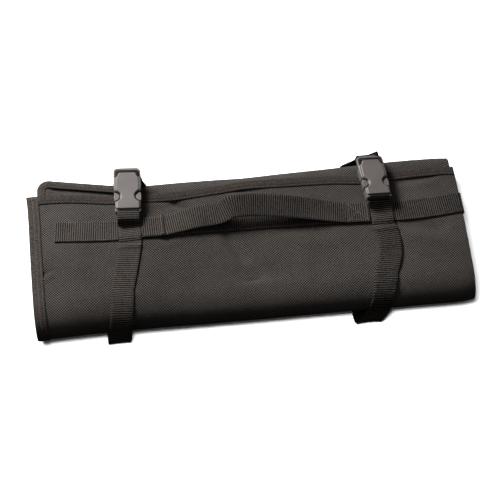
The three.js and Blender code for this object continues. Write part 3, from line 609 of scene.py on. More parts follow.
def binding_material(name, pale):
    made, tree, shader = new_material(name)
    u, v = cloth_uv(tree)
    ribs = wave(tree, u, 1.1 * MM)
    threads = wave(tree, v, 0.8 * MM)
    weave = maths(tree, "MULTIPLY_ADD", threads, 0.4, ribs)
    fluff = patches(tree, 700.0, 2.0)
    tone = maths(tree, "MULTIPLY_ADD", weave, 0.30, ramp(tree, fluff, 0.35, 0.65, 0.1, 0.9))
    dress_tape(tree, shader, tinted(tree, tone, (0.010, 0.0075, 0.0065), pale), weave, fluff, 0.8)
    return made


binding_tape = binding_material("binding_tape", (0.056, 0.045, 0.040))
# A lighter copy of the binding, as painted light, for the bindings at the roll's left end.
painted_light_binding = binding_material("painted_light_binding", (0.084, 0.069, 0.060))


# %% Sweep a folded binding along an edge
FOLD_START, TAPE_CROWN = 0.6 * MM, 0.35 * MM
PINCH_DEPTH, PINCH_WIDTH = 0.55 * MM, 0.8 * MM
SELVEDGE_DROP, SELVEDGE_WIDTH = 0.35 * MM, 0.5 * MM


def binding_ring(width, inner, tape, stitches):
    """Section of a folded tape as (along, off): inwards from the raw edge, and away from the cloth."""
    outer = inner + tape
    top = []
    for along in np.linspace(width, FOLD_START, 15):
        pinch = sum(math.exp(-((along - s) / PINCH_WIDTH) ** 2) for s in stitches)
        lift = TAPE_CROWN * math.sin(math.pi * min(max(along / width, 0), 1))
        edge = SELVEDGE_DROP * math.exp(-((along - width) / SELVEDGE_WIDTH) ** 2)
        top.append((along, outer + lift - PINCH_DEPTH * pinch - edge))
    turn = np.linspace(math.pi / 2, 3 * math.pi / 2, 9)
    fold = [((1 + math.cos(a)) * tape * 0.5 - GAP - tape, outer * math.sin(a)) for a in turn]
    bottom = [(along, -off) for along, off in reversed(top)]
    inside = [(width, -inner), (width * 0.5, -inner), (-GAP, -inner), (-GAP, inner), (width * 0.5, inner),
              (width, inner)]
    return top + fold + bottom + inside


def bind(name, path, ring, material):
    """A binding along an edge. Its path gives the centres, the directions inwards and the normals."""
    centres, inwards, normals = path
    ring = np.array(ring)
    points = (centres[:, None, :] + ring[None, :, :1] * inwards[:, None, :]
              + ring[None, :, 1:] * normals[:, None, :])
    return swept(name, points, lengths_along(centres), lengths_along(ring), material)


# %% Bind the roll's left end
def path_normals(y, z):
    dy, dz = np.gradient(y), np.gradient(z)
    size = np.hypot(dy, dz)
    return dz / size, -dy / size


END_SEAMS = (5.0 * MM, 9.8 * MM)


def end_binding_path():
    y, z, inset = section(plain_end)
    end_x = -LENGTH / 2 + inset
    centres = np.stack([end_x + end_trim(end_x, y), y, z], axis=1) + np.array(ORIGIN)
    centres[0, 1] += GAP + BINDING
    inwards = np.tile([1.0, 0.0, 0.0], (len(y), 1))
    return centres, inwards, np.stack([np.zeros(len(y)), *path_normals(y, z)], axis=1)


end_path = end_binding_path()
end_ring = binding_ring(BINDING_END, WALL / 2 + GAP, BINDING, END_SEAMS)
# The left end takes the lighter binding, with painted light.
end_binding = bind("bound_end", end_path, end_ring, painted_light_binding)
print("end binding:", len(end_binding.data.polygons), "faces")

# %% Bind the panel's rear edge
EDGE_BINDING_WIDTH, EDGE_SEAM = 10 * MM, 7.8 * MM
SLOPE_STEP = 6


def edge_binding_path():
    """Along the panel's rear edge, turned to the panel's slope there."""
    first = share_at(-LENGTH / 2 + BINDING_END + GAP)
    centres, inwards, normals = [], [], []
    for share in np.linspace(first, 1 - WALL / 2 / LENGTH, 180):
        y, z, _ = section(share)
        slope = np.array([0.0, y[SLOPE_STEP] - y[0], z[SLOPE_STEP] - z[0]])
        slope /= np.linalg.norm(slope)
        centres.append([x_at(share), y[0], z[0]])
        inwards.append(slope)
        normals.append([0.0, slope[2], -slope[1]])
    return np.array(centres) + np.array(ORIGIN), np.array(inwards), np.array(normals)


edge_path = edge_binding_path()
edge_ring = binding_ring(EDGE_BINDING_WIDTH, WALL / 2 + GAP, BINDING, (EDGE_SEAM,))
edge_binding = bind("bound_edge", edge_path, edge_ring, binding_tape)
print("edge binding:", len(edge_binding.data.polygons), "faces")

# %% [markdown]
# The inner flap
#
# A corner of the sheet's inner end sticks out behind the panel at the left, between the layers. It is flat,
# with a rounded corner and the same binding, and the panel hides the rest of it.

# %% Flap outline
FLAP_WALL = 1.6 * MM
FLAP_CORNER = 12 * MM
FLAP_BINDING_WIDTH = 8 * MM
FLAP_BINDING = 0.8 * MM
FLAP_SEAM = 6.2 * MM
FLAP_TUCK = 46 * MM
FLAP = {"left": 0.0245, "right": 0.257, "back": 1.062, "back_right": 0.934}


def flap_edge():
    """The flap's bound edge in plan, from its hidden right end round the corner to its hidden front."""
    right = Vector((x_at(FLAP["right"]), FLAP["back_right"] * DEPTH))
    corner = Vector((x_at(FLAP["left"]), FLAP["back"] * DEPTH))
    front = Vector((corner.x, right.y - FLAP_TUCK))
    along = (right - corner).normalized()
    opening = math.acos(along.dot(Vector((0, -1))))
    setback = FLAP_CORNER / math.tan(opening / 2)
    enter = corner + along * setback
    centre = Vector((corner.x + FLAP_CORNER, corner.y - setback))
    start = math.atan2(enter.y - centre.y, enter.x - centre.x)
    arc = [centre + FLAP_CORNER * Vector((math.cos(a), math.sin(a))) for a in np.linspace(start, math.pi, 14)]
    top = [right.lerp(enter, t) for t in np.linspace(0, 1, 40)[:-1]]
    side = [arc[-1].lerp(front, t) for t in np.linspace(0, 1, 16)[1:]]
    return top + arc + side


flap_line = np.array([[p.x, p.y] for p in flap_edge()])
flap_low, flap_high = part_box("inner_flap")
FLAP_PLACE = np.array([ORIGIN.x, ORIGIN.y, (flap_low.z + flap_high.z) / 2])
print("flap lies at", round(FLAP_PLACE[2] / MM, 1), "mm")


# %% Make the flap and its binding
FLAP_SAG, SAG_WAVE = 0.6 * MM, 17 * MM
FLAP_DIP, DIP_SLOPE = 2.1 * MM, (-0.6 * MM, 1.6 * MM)
DIP_CLEAR = (8 * MM, 20 * MM)
HUB_BACK, HUB_UP = 4 * MM, 2 * MM


def flap_sag(x, y):
    """The free corner droops a little, in a wave along it."""
    free = np.clip((y - 0.93 * DEPTH) / (0.13 * DEPTH), 0, 1)
    return -FLAP_SAG * free * (0.5 + 0.5 * np.sin(x / SAG_WAVE))


def soft_step(value, start, end):
    t = np.clip((value - start) / (end - start), 0, 1)
    return t * t * (3 - 2 * t)


def make_flap():
    """Cloth from the bound edge inwards. It hangs lower behind the stiff binding, as a dark slit."""
    shares = [0, 0.03, 0.05, 0.06, 0.07, 0.08, 0.09, 0.10, 0.11, 0.13, 0.16, *np.linspace(0.2, 0.98, 15)]
    rows, columns = len(shares), len(flap_line)
    hub = np.array([x_at(FLAP["right"]) - HUB_BACK, flap_line[-1, 1] + HUB_UP])
    corner = x_at(FLAP["left"])
    grid = np.zeros((rows, columns, 3))
    for i, t in enumerate(shares):
        ring = flap_line * (1 - t) + hub * t
        inside = np.linalg.norm(ring - flap_line, axis=1)
        clear = soft_step(ring[:, 0], corner + DIP_CLEAR[0], corner + DIP_CLEAR[1])
        past = soft_step(inside, FLAP_BINDING_WIDTH + DIP_SLOPE[0], FLAP_BINDING_WIDTH + DIP_SLOPE[1])
        grid[i, :, :2] = ring
        grid[i, :, 2] = flap_sag(ring[:, 0], ring[:, 1]) - FLAP_DIP * past * clear
    grid += FLAP_PLACE
    even = np.ones((rows, columns))
    return wall("inner_flap_cloth", grid, FLAP_WALL, grid[..., :2].copy(), roll_cloth, even)


def flap_binding_path():
    runs = unit(np.gradient(flap_line, axis=0))
    centres = np.column_stack([flap_line, flap_sag(flap_line[:, 0], flap_line[:, 1])]) + FLAP_PLACE
    inwards = np.column_stack([-runs[:, 1], runs[:, 0], np.zeros(len(runs))])
    return centres, inwards, np.tile([0.0, 0.0, 1.0], (len(runs), 1))


inner_flap = make_flap()
flap_path = flap_binding_path()
flap_ring = binding_ring(FLAP_BINDING_WIDTH, FLAP_WALL / 2 + GAP, FLAP_BINDING, (FLAP_SEAM,))
# The flap takes the lighter binding, with painted light.
flap_binding = bind("bound_flap", flap_path, flap_ring, painted_light_binding)
print("flap and binding:", len(inner_flap.data.polygons) + len(flap_binding.data.polygons), "faces")

# %% [markdown]
# Webbing
#
# Straps, tape and grip are the same ribbed webbing. Its ribs run across it every few millimetres and catch
# the light, so they are real waves in the mesh. The colour also paints them, lighter on each crest and darker
# in each groove, as painted highlight and painted shade. A band is made from frames along its way: a centre,
# a direction across and a direction up. The frames are joined by a smooth curve and cut into steps of a
# quarter rib.


# %% Webbing material
def webbing_material():
    """The webbing grows darker towards the right, as painted shade where less light reaches it."""
    made, tree, shader = new_material("ribbed_webbing")
    u, v = cloth_uv(tree)
    ribs = wave(tree, u, RIB_PITCH, math.pi / 2)
    yarn = maths(tree, "MULTIPLY", wave(tree, v, 1.0 * MM), wave(tree, u, RIB_PITCH / 2))
    fluff = patches(tree, 800.0, 2.0)
    wear = patches(tree, 25.0, 3.0)
    # The rib wave lightens the tone on each rib's crest and darkens it in the grooves: painted highlight and
    # painted shade.
    tone = maths(tree, "MULTIPLY_ADD", ribs, 0.70, ramp(tree, wear, 0.3, 0.7, 0.35, 0.65))
    tone = maths(tree, "MULTIPLY_ADD", yarn, 0.20, tone)
    tone = maths(tree, "ADD", tone, ramp(tree, fluff, 0.35, 0.65, -0.45, 0.30))
    # Painted shade: the tone falls off towards the right along the roll.
    place = add_node(tree, "ShaderNodeTexCoord").outputs["Object"]
    x = add_node(tree, "ShaderNodeSeparateXYZ", {"Vector": place}).outputs["X"]
    tone = maths(tree, "ADD", tone, ramp(tree, x, -0.10, 0.16, 0.04, -0.15))
    color = tinted(tree, tone, (0.001, 0.0009, 0.0008), (0.084, 0.071, 0.062))
    dress_tape(tree, shader, color, yarn, fluff, 0.78)
    return made


webbing = webbing_material()


# %% Bands of webbing
LEAST_STEP = 1e-6
RIB_HEIGHT = 0.35 * MM
STEPS_EACH_RIB = 4


def smooth_line(points, count):
    """Points resampled evenly on a smooth curve through the given ones."""
    points = np.asarray(points, float)
    place = lengths_along(points, LEAST_STEP)
    slopes = np.gradient(points, place, axis=0)
    wanted = np.linspace(0, place[-1], count)
    k = np.clip(np.searchsorted(place, wanted, side="right") - 1, 0, len(points) - 2)
    span = (place[k + 1] - place[k])[:, None]
    t = ((wanted - place[k])[:, None]) / span
    return (points[k] * (2 * t**3 - 3 * t**2 + 1) + slopes[k] * span * (t**3 - 2 * t**2 + t)
            + points[k + 1] * (3 * t**2 - 2 * t**3) + slopes[k + 1] * span * (t**3 - t**2))


def band_frames(points, across, square=1.0):
    """Even frames along a smooth way: centres, directions across and up, and the length along.

    Where square is 1 the band stays square to its way. Where it is 0 it keeps the given directions and shears.
    """
    points, across = np.asarray(points, float), np.asarray(across, float)
    length = float(np.linalg.norm(np.diff(smooth_line(points, 400), axis=0), axis=1).sum())
    count = max(int(length / RIB_PITCH * STEPS_EACH_RIB), 8)
    place = lengths_along(points, LEAST_STEP)
    wanted = np.linspace(0, place[-1], count)
    centres = smooth_line(points, count)
    sides = np.stack([np.interp(wanted, place, across[:, k]) for k in range(3)], axis=1)
    runs = unit(np.gradient(centres, axis=0))
    hold = np.interp(wanted, place, np.broadcast_to(square, len(points)))[:, None]
    sides = unit(unit(sides) - hold * runs * (unit(sides) * runs).sum(axis=1, keepdims=True))
    return centres, sides, unit(np.cross(sides, runs)), lengths_along(centres)


def band_ring(width, thick):
    """Section of a band as (aside, off, share of the ribs' height), with rounded selvedges."""
    flat, shoulder, drop = width / 2 - 0.3 * thick, width / 2 - 0.08 * thick, 0.28 * thick
    top = [(a * flat, thick / 2, 1 - abs(a) ** 6) for a in np.linspace(-1, 1, 11)]
    edge = [(shoulder, drop, 0), (width / 2, 0, 0), (shoulder, -drop, 0)]
    under = [(aside, -off, -rib) for aside, off, rib in reversed(top)]
    return np.array(top + edge + under + [(-aside, -off, rib) for aside, off, rib in edge])


def band(name, frames, width, thick):
    """A ribbed band of webbing."""
    centres, sides, ups, along = frames
    ring = band_ring(width, thick)
    waves = RIB_HEIGHT * 0.5 * (np.cos(2 * math.pi * along / RIB_PITCH) - 1)
    off = ring[None, :, 1] + waves[:, None] * ring[None, :, 2]
    points = centres[:, None, :] + ring[None, :, :1] * sides[:, None, :] + off[..., None] * ups[:, None, :]
    return swept(name, points, along, ring[:, 0], webbing)


# %% [markdown]
# Handle
#
# The tape lies flat on the panel and turns round the roll's right end. The grip is a second length, sewn to
# the tape beside each strap. Between its ends it stands up in an arch and leans towards the back, with a
# dark gap under it. Both follow the panel's own height, so they bend with its hollows.

# %% Tape and grip lines
TAPE_LINE = [(0.061, 0.650), (0.200, 0.620), (0.400, 0.624), (0.620, 0.610), (0.850, 0.585), (1.000, 0.604)]
GRIP_LIFT, GRIP_LEAN, GRIP_PATCH, GRIP_CLEARANCE, GRIP_TILT = 14 * MM, 9 * MM, 25 * MM, 1.6 * MM, 0.45
GRIP_TUCK, TUCK_BEFORE, TUCK_WIDTH = 1.7 * MM, 3 * MM, 2 * MM
GRIP_ARCH = [
    # share of the free span, lift, lean
    (0.00, 0.00, 0.00), (0.09, 0.24, 0.21), (0.18, 0.46, 0.42), (0.27, 0.57, 0.52), (0.31, 0.66, 0.64),
    (0.37, 0.97, 0.94), (0.44, 1.00, 1.00), (0.54, 0.92, 0.94), (0.68, 0.70, 0.70), (0.82, 0.38, 0.40),
    (0.93, 0.12, 0.14), (1.00, 0.00, 0.00),
]
TAPE_TOP = GAP + HANDLE_THICK
TAPE_TURN_STEPS, TAPE_TAIL = 12, (5, 10, 14)
ACROSS = (0, 0.2, 0.35, 0.5, 0.65, 0.8, 1)


def tape_middle(x):
    return smooth_value(TAPE_LINE, 1, share_at(x)) * DEPTH


def handle_frame(x, middle, off):
    """Centre and direction across of a handle band that lies along the panel, off above it."""
    near, far = middle - HANDLE_WIDTH / 2, middle + HANDLE_WIDTH / 2
    near_top, far_top = panel_top(x, near), panel_top(x, far)
    swell = max(panel_top(x, near + (far - near) * t) - near_top - (far_top - near_top) * t for t in ACROSS)
    centre = Vector((x, middle, (near_top + far_top) / 2 + swell + off + HANDLE_THICK / 2))
    return centre, Vector((0, HANDLE_WIDTH, far_top - near_top)).normalized(), swell


# %% Make the tape
def tape_frames():
    """Along the panel, round the roll's right end and a little way back under it."""
    start, end = x_at(TAPE_LINE[0][0]), LENGTH / 2 - WALL / 2
    end += float(end_trim(LENGTH / 2, tape_middle(LENGTH / 2)))
    points, across = [], []
    for x in np.linspace(start, end, 60):
        centre, side, swell = handle_frame(x, tape_middle(x), GAP)
        points.append(centre)
        across.append(-side)
    radius = float(WALL / 2 + GAP + HANDLE_THICK / 2 + min(swell, 0.4 * MM))
    up = Vector((1, 0, 0)).cross(side)
    hub = points[-1] - up * radius
    for i in range(1, TAPE_TURN_STEPS + 1):
        angle = math.pi * i / TAPE_TURN_STEPS
        points.append(hub + radius * (up * math.cos(angle) + Vector((math.sin(angle), 0, 0))))
    for reach in TAPE_TAIL:
        points.append(points[-1] - Vector((reach * MM / 3, 0, 0)))
    across += [-side] * (len(points) - len(across))
    return band_frames([p + ORIGIN for p in points], across)


tape = tape_frames()
handle_tape = band("sewn_tape", tape, HANDLE_WIDTH, HANDLE_THICK)
print("tape:", round(tape[3][-1] / MM), "mm long")

# %% [markdown]
# Straps and buckles
#
# Each strap makes one turn round the roll. It is sewn over the tape, runs down the panel, hangs a little
# slack round the front fold, passes under the roll and comes up behind it into the buckle. The right strap
# is slacker and swings to the left as it falls. The buckle's place and turn are a matrix, and the strap's
# loops round the buckle's bars are worked out in the buckle's own frame.

# %% Strap and buckle sizes
FRAME_END, INNER_BAR, INNER_BAR_PLACE, INNER_BAR_HEIGHT = 55.0 * MM, 1.1 * MM, 42.5 * MM, 5.4 * MM
BAR, BAR_PLACE, BAR_HEIGHT = 1.5 * MM, -0.4 * MM, 6.8 * MM
LOOP_RADIUS = BAR + 0.1 * MM + STRAP_THICK / 2
INNER_LOOP = INNER_BAR + GAP + STRAP_THICK / 2
STRAP_EASE, STRAP_TAIL, STRAP_REAR_EASE = 0.5 * MM, 9.5 * MM, 0.8 * MM
STRAP_WRINKLE, WRINKLE_PLACE, WRINKLE_WIDTH = 1.2 * MM, 5 * MM, 3 * MM
# Places along the roll are shares of its length, in the order in which the strap comes to them. turn, roll
# and pitch are the buckle's, in degrees. lift, slack and crest are in millimetres.
STRAPS = [
    dict(name="left", buckle_at=0.2302, buckle_across=0.724, turn=-2.4, roll=4.0, pitch=0.0, lift=0.9,
         slack=4.6, tape=0.2300, belly=0.2180, brow=0.2040, chin=0.1910, foot=0.1830, heel=0.2340,
         nape=0.2520, shoulder=0.2430, crest=-1.6, cant=0.0, over_tail=True),
    dict(name="right", buckle_at=0.8044, buckle_across=0.658, turn=3.0, roll=8.0, pitch=3.0, lift=3.0,
         slack=7.6, tape=0.8100, belly=0.8170, brow=0.7985, chin=0.7755, foot=0.7430, heel=0.7380,
         nape=0.7640, shoulder=0.8000, crest=2.8, cant=0.60, over_tail=False),
]


def band_top(x, y):
    """Highest place of the panel under a band as wide as a strap."""
    return max(panel_top(x + (t - 0.5) * STRAP_WIDTH, y) for t in ACROSS)


def buckle_frame(strap):
    """From the buckle's own frame to the roll's: x across, y from the lower bar to the frame bar, z up."""
    x, y = x_at(strap["buckle_at"]), strap["buckle_across"] * DEPTH
    low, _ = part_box(f"buckle_{strap['name']}_socket")
    place = Matrix.Translation((x + ORIGIN.x, y + ORIGIN.y, low.z + strap["lift"] * MM))
    turned = Matrix.Rotation(math.radians(strap["turn"]), 4, "Z")
    rolled = Matrix.Rotation(math.radians(strap["roll"]), 4, "Y")
    return place @ turned @ rolled @ Matrix.Rotation(math.radians(-strap["pitch"]), 4, "X")


# %% The way of a strap
LEFTWARDS = Vector((-1, 0, 0))
TAIL_LIFT = 2.4 * MM
UNDER_START, UNDER_REACH, UNDER_DROP = 1.22 * math.pi, 3 * MM, 0.5 * MM
SEWN_REACH, SEWN_RISE = 3 * MM, 1.2 * MM


def bezier(a, b, c, d, count):
    t = np.linspace(0, 1, count + 1)[:, None]
    a, b, c, d = (np.array(p, float) for p in (a, b, c, d))
    return (1 - t) ** 3 * a + 3 * (1 - t) ** 2 * t * b + 3 * (1 - t) * t**2 * c + t**3 * d


def bar_loop(place, height, radius, start, end):
    angles = np.linspace(start, end, 13)
    return [Vector((0, place + radius * math.cos(a), height + radius * math.sin(a))) for a in angles]


def tail_points(strap, matrix):
    """The tail and the loop round the lower bar. The left strap lies back over its tail, the right under."""
    under = BAR_HEIGHT - LOOP_RADIUS
    end, middle = BAR_PLACE - STRAP_TAIL, BAR_PLACE - STRAP_TAIL / 2
    if strap["over_tail"]:
        over = under + STRAP_THICK + GAP
        points = [Vector((0, end, under)), Vector((0, middle, under))]
        points += bar_loop(BAR_PLACE, BAR_HEIGHT, LOOP_RADIUS, -math.pi / 2, math.pi / 2)
        points += [Vector((0, middle, over + TAIL_LIFT)), Vector((0, end - STRAP_THICK, over))]
    else:
        points = bar_loop(BAR_PLACE, BAR_HEIGHT, LOOP_RADIUS, UNDER_START, -math.pi / 2)
        points.append(Vector((0, BAR_PLACE - UNDER_REACH, under - UNDER_DROP)))
    return [matrix @ p for p in points]


def panel_points(strap):
    """Over the tape, where the strap is sewn down, and along the panel to the start of the front fold."""
    rest = GAP + STRAP_THICK / 2
    tape_x = x_at(strap["tape"])
    tape_low = tape_middle(tape_x) - HANDLE_WIDTH / 2
    settle = strap["buckle_across"] * DEPTH + BAR_PLACE - STRAP_TAIL - 2 * STRAP_THICK

    def on_tape(y):
        return band_top(tape_x, y) + TAPE_TOP + rest + GAP / 2

    points = [Vector((tape_x, settle, max(on_tape(settle), on_tape(tape_low)))),
              Vector((tape_x, tape_low - GAP, on_tape(tape_low)))]
    if not strap["over_tail"]:
        points.insert(0, points[0] + Vector((0, SEWN_REACH, SEWN_RISE)))
    start = tape_low - 3 * STRAP_THICK
    brow_y = panel_lines(station(strap["brow"]))[3]
    for t in np.linspace(0, 1, 26)[:-1]:
        y = start + (brow_y - start) * t
        wrinkle = STRAP_WRINKLE * math.exp(-((start - y - WRINKLE_PLACE) / WRINKLE_WIDTH) ** 2)
        x = tape_x * (1 - t) * (1 - 2 * t) + x_at(strap["belly"]) * 4 * t * (1 - t)
        x += x_at(strap["brow"]) * t * (2 * t - 1)
        points.append(Vector((x, y, band_top(x, y) + rest + wrinkle + STRAP_EASE * math.sin(math.pi * t))))
    return [p + ORIGIN for p in points]


def front_points(strap):
    """Round the upper half of the front fold, then hanging free to the floor."""
    points = []
    for t in np.linspace(0, 1, 8):
        share = strap["brow"] + (strap["chin"] - strap["brow"]) * t
        y, z, _ = section(share)
        ny, nz = path_normals(y, z)
        k = PANEL_STEPS + int(round(t * FOLD_STEPS / 2))
        off = WALL / 2 + GAP + STRAP_THICK / 2 + STRAP_EASE * (0.25 + t)
        points.append(Vector((x_at(share), y[k] + off * ny[k], z[k] + off * nz[k])))
    chin, foot_x, slack = points[-1], x_at(strap["foot"]), strap["slack"] * MM
    end = (foot_x, chin.y + slack, STRAP_THICK / 2)
    fall = bezier(chin, (chin.x + 0.4 * (foot_x - chin.x), chin.y - 0.3 * slack, 0.45 * chin.z),
                  (foot_x, chin.y - 1.8 * slack, STRAP_THICK / 2), end, 14)
    points += [Vector(p) for p in fall[1:]]
    return [p + ORIGIN for p in points]


MOUTH_DEPTH, LIP_DROP, CANT_LIFT = 5.0 * MM, 1.2 * MM, 8 * MM
SHOULDER_DROP, NAPE_EASE = 5 * MM, 0.4 * MM
SHOULDER_ENTRY, SHOULDER_EXIT = Vector((0, 0, 6 * MM)), Vector((0, 0, 4 * MM))
LIP_ENTRY = Vector((0, 1.5 * MM, -2 * MM))


def rear_points(strap, matrix):
    """Under the roll, close up its rear fold and into the frame, with the direction across at each point.

    A canted strap stands on edge where it leaves the frame, as a small triangle above the buckle.
    """
    flat = STRAP_THICK / 2
    back = station(strap["nape"])["back"] * DEPTH
    rear = back + STRAP_REAR_EASE
    halfway = FLOOR + THICK / 2
    foot_x, heel_x, nape_x, shoulder_x = (x_at(strap[key]) for key in ("foot", "heel", "nape", "shoulder"))
    under = [Vector((foot_x + (heel_x - foot_x) * t, DEPTH * t, flat)) for t in (0.3, 0.5, 0.7)]
    heel = Vector((heel_x, back - THICK / 2, flat))
    nape = Vector((nape_x, rear, halfway))
    curl = bezier(heel, (heel_x, heel.y + 0.8 * (rear - heel.y), flat),
                  ((heel_x + nape_x) / 2, rear, flat + 0.28 * (halfway - flat)), nape, 12)
    to_roll = Matrix.Translation(-ORIGIN) @ matrix
    low = INNER_BAR_HEIGHT - INNER_LOOP
    mouth = to_roll @ Vector((0, FRAME_END - MOUTH_DEPTH, low))
    lip = to_roll @ Vector((0, FRAME_END + strap["crest"] * MM, low + CANT_LIFT * strap["cant"] - LIP_DROP))
    shoulder = Vector((shoulder_x, rear, FLOOR + THICK - SHOULDER_DROP))
    rise = bezier(nape, (nape_x, rear + NAPE_EASE, (2 * halfway + shoulder.z) / 3),
                  shoulder - SHOULDER_ENTRY, shoulder, 6)
    arrive = bezier(shoulder, shoulder + SHOULDER_EXIT, lip + LIP_ENTRY, lip, 6)
    points = under + [Vector(p) for p in (*curl, *rise[1:], *arrive[1:])] + [mouth]
    bar = matrix.to_3x3() @ LEFTWARDS
    canted = (LEFTWARDS + bar - Vector((0, 0, 2 * strap["cant"]))).normalized()
    ways = [LEFTWARDS] * (len(points) - 2) + [canted, bar]
    return [p + ORIGIN for p in points], ways


def upper_loop(matrix):
    """Round the buckle's hidden inner bar."""
    loop = bar_loop(INNER_BAR_PLACE, INNER_BAR_HEIGHT, INNER_LOOP, -math.pi / 2, -1.5 * math.pi)
    return [matrix @ p for p in loop]


# %% Make the straps
def strap_frames(strap):
    """The strap's whole way. It shears where it slants round the roll, less so on the panel."""
    matrix = buckle_frame(strap)
    tail, upper = tail_points(strap, matrix), upper_loop(matrix)
    panel = panel_points(strap) + front_points(strap)
    rear, rear_ways = rear_points(strap, matrix)
    bar = matrix.to_3x3() @ LEFTWARDS
    across = [bar] * len(tail) + [LEFTWARDS] * len(panel) + rear_ways + [bar] * len(upper)
    square = [0] * (len(tail) + 2) + [0.5] * (len(panel) - 2) + [0] * (len(rear) + len(upper))
    centres, sides, ups, along = band_frames(tail + panel + rear + upper, across, square)
    lowest = np.abs(sides[:, 2]) * STRAP_WIDTH / 2 + np.abs(ups[:, 2]) * STRAP_THICK / 2
    centres[:, 2] = np.maximum(centres[:, 2], lowest)
    return centres, sides, ups, along


straps = {}
for strap in STRAPS:
    name, frames = strap["name"], strap_frames(strap)
    straps[name] = band(f"webbing_strap_{name}", frames, STRAP_WIDTH, STRAP_THICK)
    print(name, "strap:", round(frames[3][-1] / MM), "mm long")


# %% Make the grip
def grip_frames():
    """From strap to strap: flat on the tape at its ends, an arch that leans back between them."""
    left, right = (x_at(strap["tape"]) for strap in STRAPS)
    start = left + STRAP_WIDTH / 2 + GRIP_CLEARANCE
    end = right - STRAP_WIDTH / 2 - GRIP_CLEARANCE
    span_start, span_end = start + GRIP_PATCH, end - GRIP_PATCH
    resting = TAPE_TOP + GAP
    points, across = [], []
    for x in np.linspace(start, end, 150):
        free = min(max((x - span_start) / (span_end - span_start), 0), 1)
        lift, lean = (max(smooth_value(GRIP_ARCH, k, free), 0) if 0 < free < 1 else 0 for k in (1, 2))
        tuck = GRIP_TUCK * math.exp(-((x - span_start + TUCK_BEFORE) / TUCK_WIDTH) ** 2)
        centre, side, swell = handle_frame(x, tape_middle(x) + lean * GRIP_LEAN,
                                           resting + lift * GRIP_LIFT + tuck)
        centre.z += CROWN * lift * lean
        points.append(centre + ORIGIN)
        across.append(-side - Vector((0, 0, GRIP_TILT * lift)))
    return band_frames(points, across)


grip = grip_frames()
handle_grip = band("raised_grip", grip, HANDLE_WIDTH, HANDLE_THICK)
print("grip:", round(grip[3][-1] / MM), "mm of webbing")

# %% [markdown]
# Buckles
#
# The side-release buckles are moulded nylon. A moulding is an outline in plan, carried up from one height to
# another, with its rims rounded as a mould leaves them, so each part of the buckle is one outline: the smooth
# plate with its two hollows for the fingers, the body under it, the prongs that show in the hollows, and the
# other half's frame. The right buckle lies rolled to its right, with its lower end lifted off the cloth.


# %% Buckle plastic
def plastic_material():
    made, tree, shader = new_material("buckle_plastic")
    wear, grain = patches(tree, 40.0, 4.0), patches(tree, 2500.0, 1.0)
    tone = ramp(tree, wear, 0.35, 0.65, 0.2, 0.8)
    fill_inputs(tree, shader, {
        "Base Color": tinted(tree, tone, (0.084, 0.072, 0.068), (0.118, 0.102, 0.097)),
        "Roughness": ramp(tree, wear, 0.3, 0.7, 0.56, 0.50), "Normal": bump(tree, grain, 0.06 * MM, 0.5)})
    return made


buckle_plastic = plastic_material()


# %% Mouldings
NEARLY_STRAIGHT = 0.02
SOLE_SHARE = 0.3
TOP_INSET = 0.12


def rounded(corners, steps=5):
    """An outline from (x, y, radius) corners in order, each turned on its radius. All in millimetres."""
    corners = np.array(corners, float)
    points = []
    for i, (x, y, radius) in enumerate(corners):
        here = np.array([x, y])
        before = unit(corners[i - 1, :2] - here)
        after = unit(corners[(i + 1) % len(corners), :2] - here)
        half = math.acos(float(np.clip(before @ after, -1, 1))) / 2
        if radius == 0 or math.pi / 2 - half < NEARLY_STRAIGHT:
            points.append(here)
            continue
        centre = here + unit(before + after) * radius / math.sin(half)
        start = here + before * radius / math.tan(half) - centre
        end = here + after * radius / math.tan(half) - centre
        a, b = math.atan2(start[1], start[0]), math.atan2(end[1], end[0])
        turn = (b - a + math.pi) % (2 * math.pi) - math.pi
        points += [centre + radius * np.array([math.cos(a + turn * t), math.sin(a + turn * t)])
                   for t in np.linspace(0, 1, steps)]
    return np.array(points)


def mirror_side(side):
    return [(-x, y, radius) for x, y, radius in reversed(side)]


def mirrored(side):
    """A whole outline from its right-hand half, which runs from the bottom to the top."""
    return side + mirror_side(side)


def shrunk(outline, by):
    """The outline moved inwards by a distance."""
    ahead = unit(np.roll(outline, -1, axis=0) - outline)
    behind = np.roll(ahead, 1, axis=0)
    across = unit(ahead + behind)
    inward = np.stack([-across[:, 1], across[:, 0]], axis=1)
    slant = np.clip((ahead * across).sum(axis=1), 0.5, 1)[:, None]
    return outline + inward * by / slant


def moulding(outline, low, high, rim=0.7):
    """Points and faces of an upright moulding between two heights, all in millimetres."""
    sole, count = SOLE_SHARE * rim, len(outline)
    levels = [(rim, low), (sole, low), (0, low + sole), (0, high - rim)]
    for angle in np.linspace(0, math.pi / 2, 5)[1:]:
        levels.append((rim * (1 - math.cos(angle)), high - rim + rim * math.sin(angle)))
    levels.append((rim + TOP_INSET, high))
    rings = [np.column_stack([shrunk(outline, by), np.full(count, z)]) for by, z in levels]
    faces = []
    for i in range(len(rings) - 1):
        faces += quads_between(i * count, (i + 1) * count, count, True).tolist()
    faces += [list(range(count))[::-1], list(range((len(rings) - 1) * count, len(rings) * count))]
    return np.concatenate(rings), faces


def rod(x0, x1, y, z, radius, steps=14):
    """Points and faces of a round bar across the buckle."""
    angles = np.linspace(0, 2 * math.pi, steps, endpoint=False)
    ring = np.stack([y + radius * np.cos(angles), z + radius * np.sin(angles)], axis=1)
    points = np.concatenate([np.column_stack([np.full(steps, x), ring]) for x in (x0, x1)])
    faces = quads_between(0, steps, steps, True).tolist()
    return points, faces + [list(range(steps)), list(range(steps, 2 * steps))[::-1]]


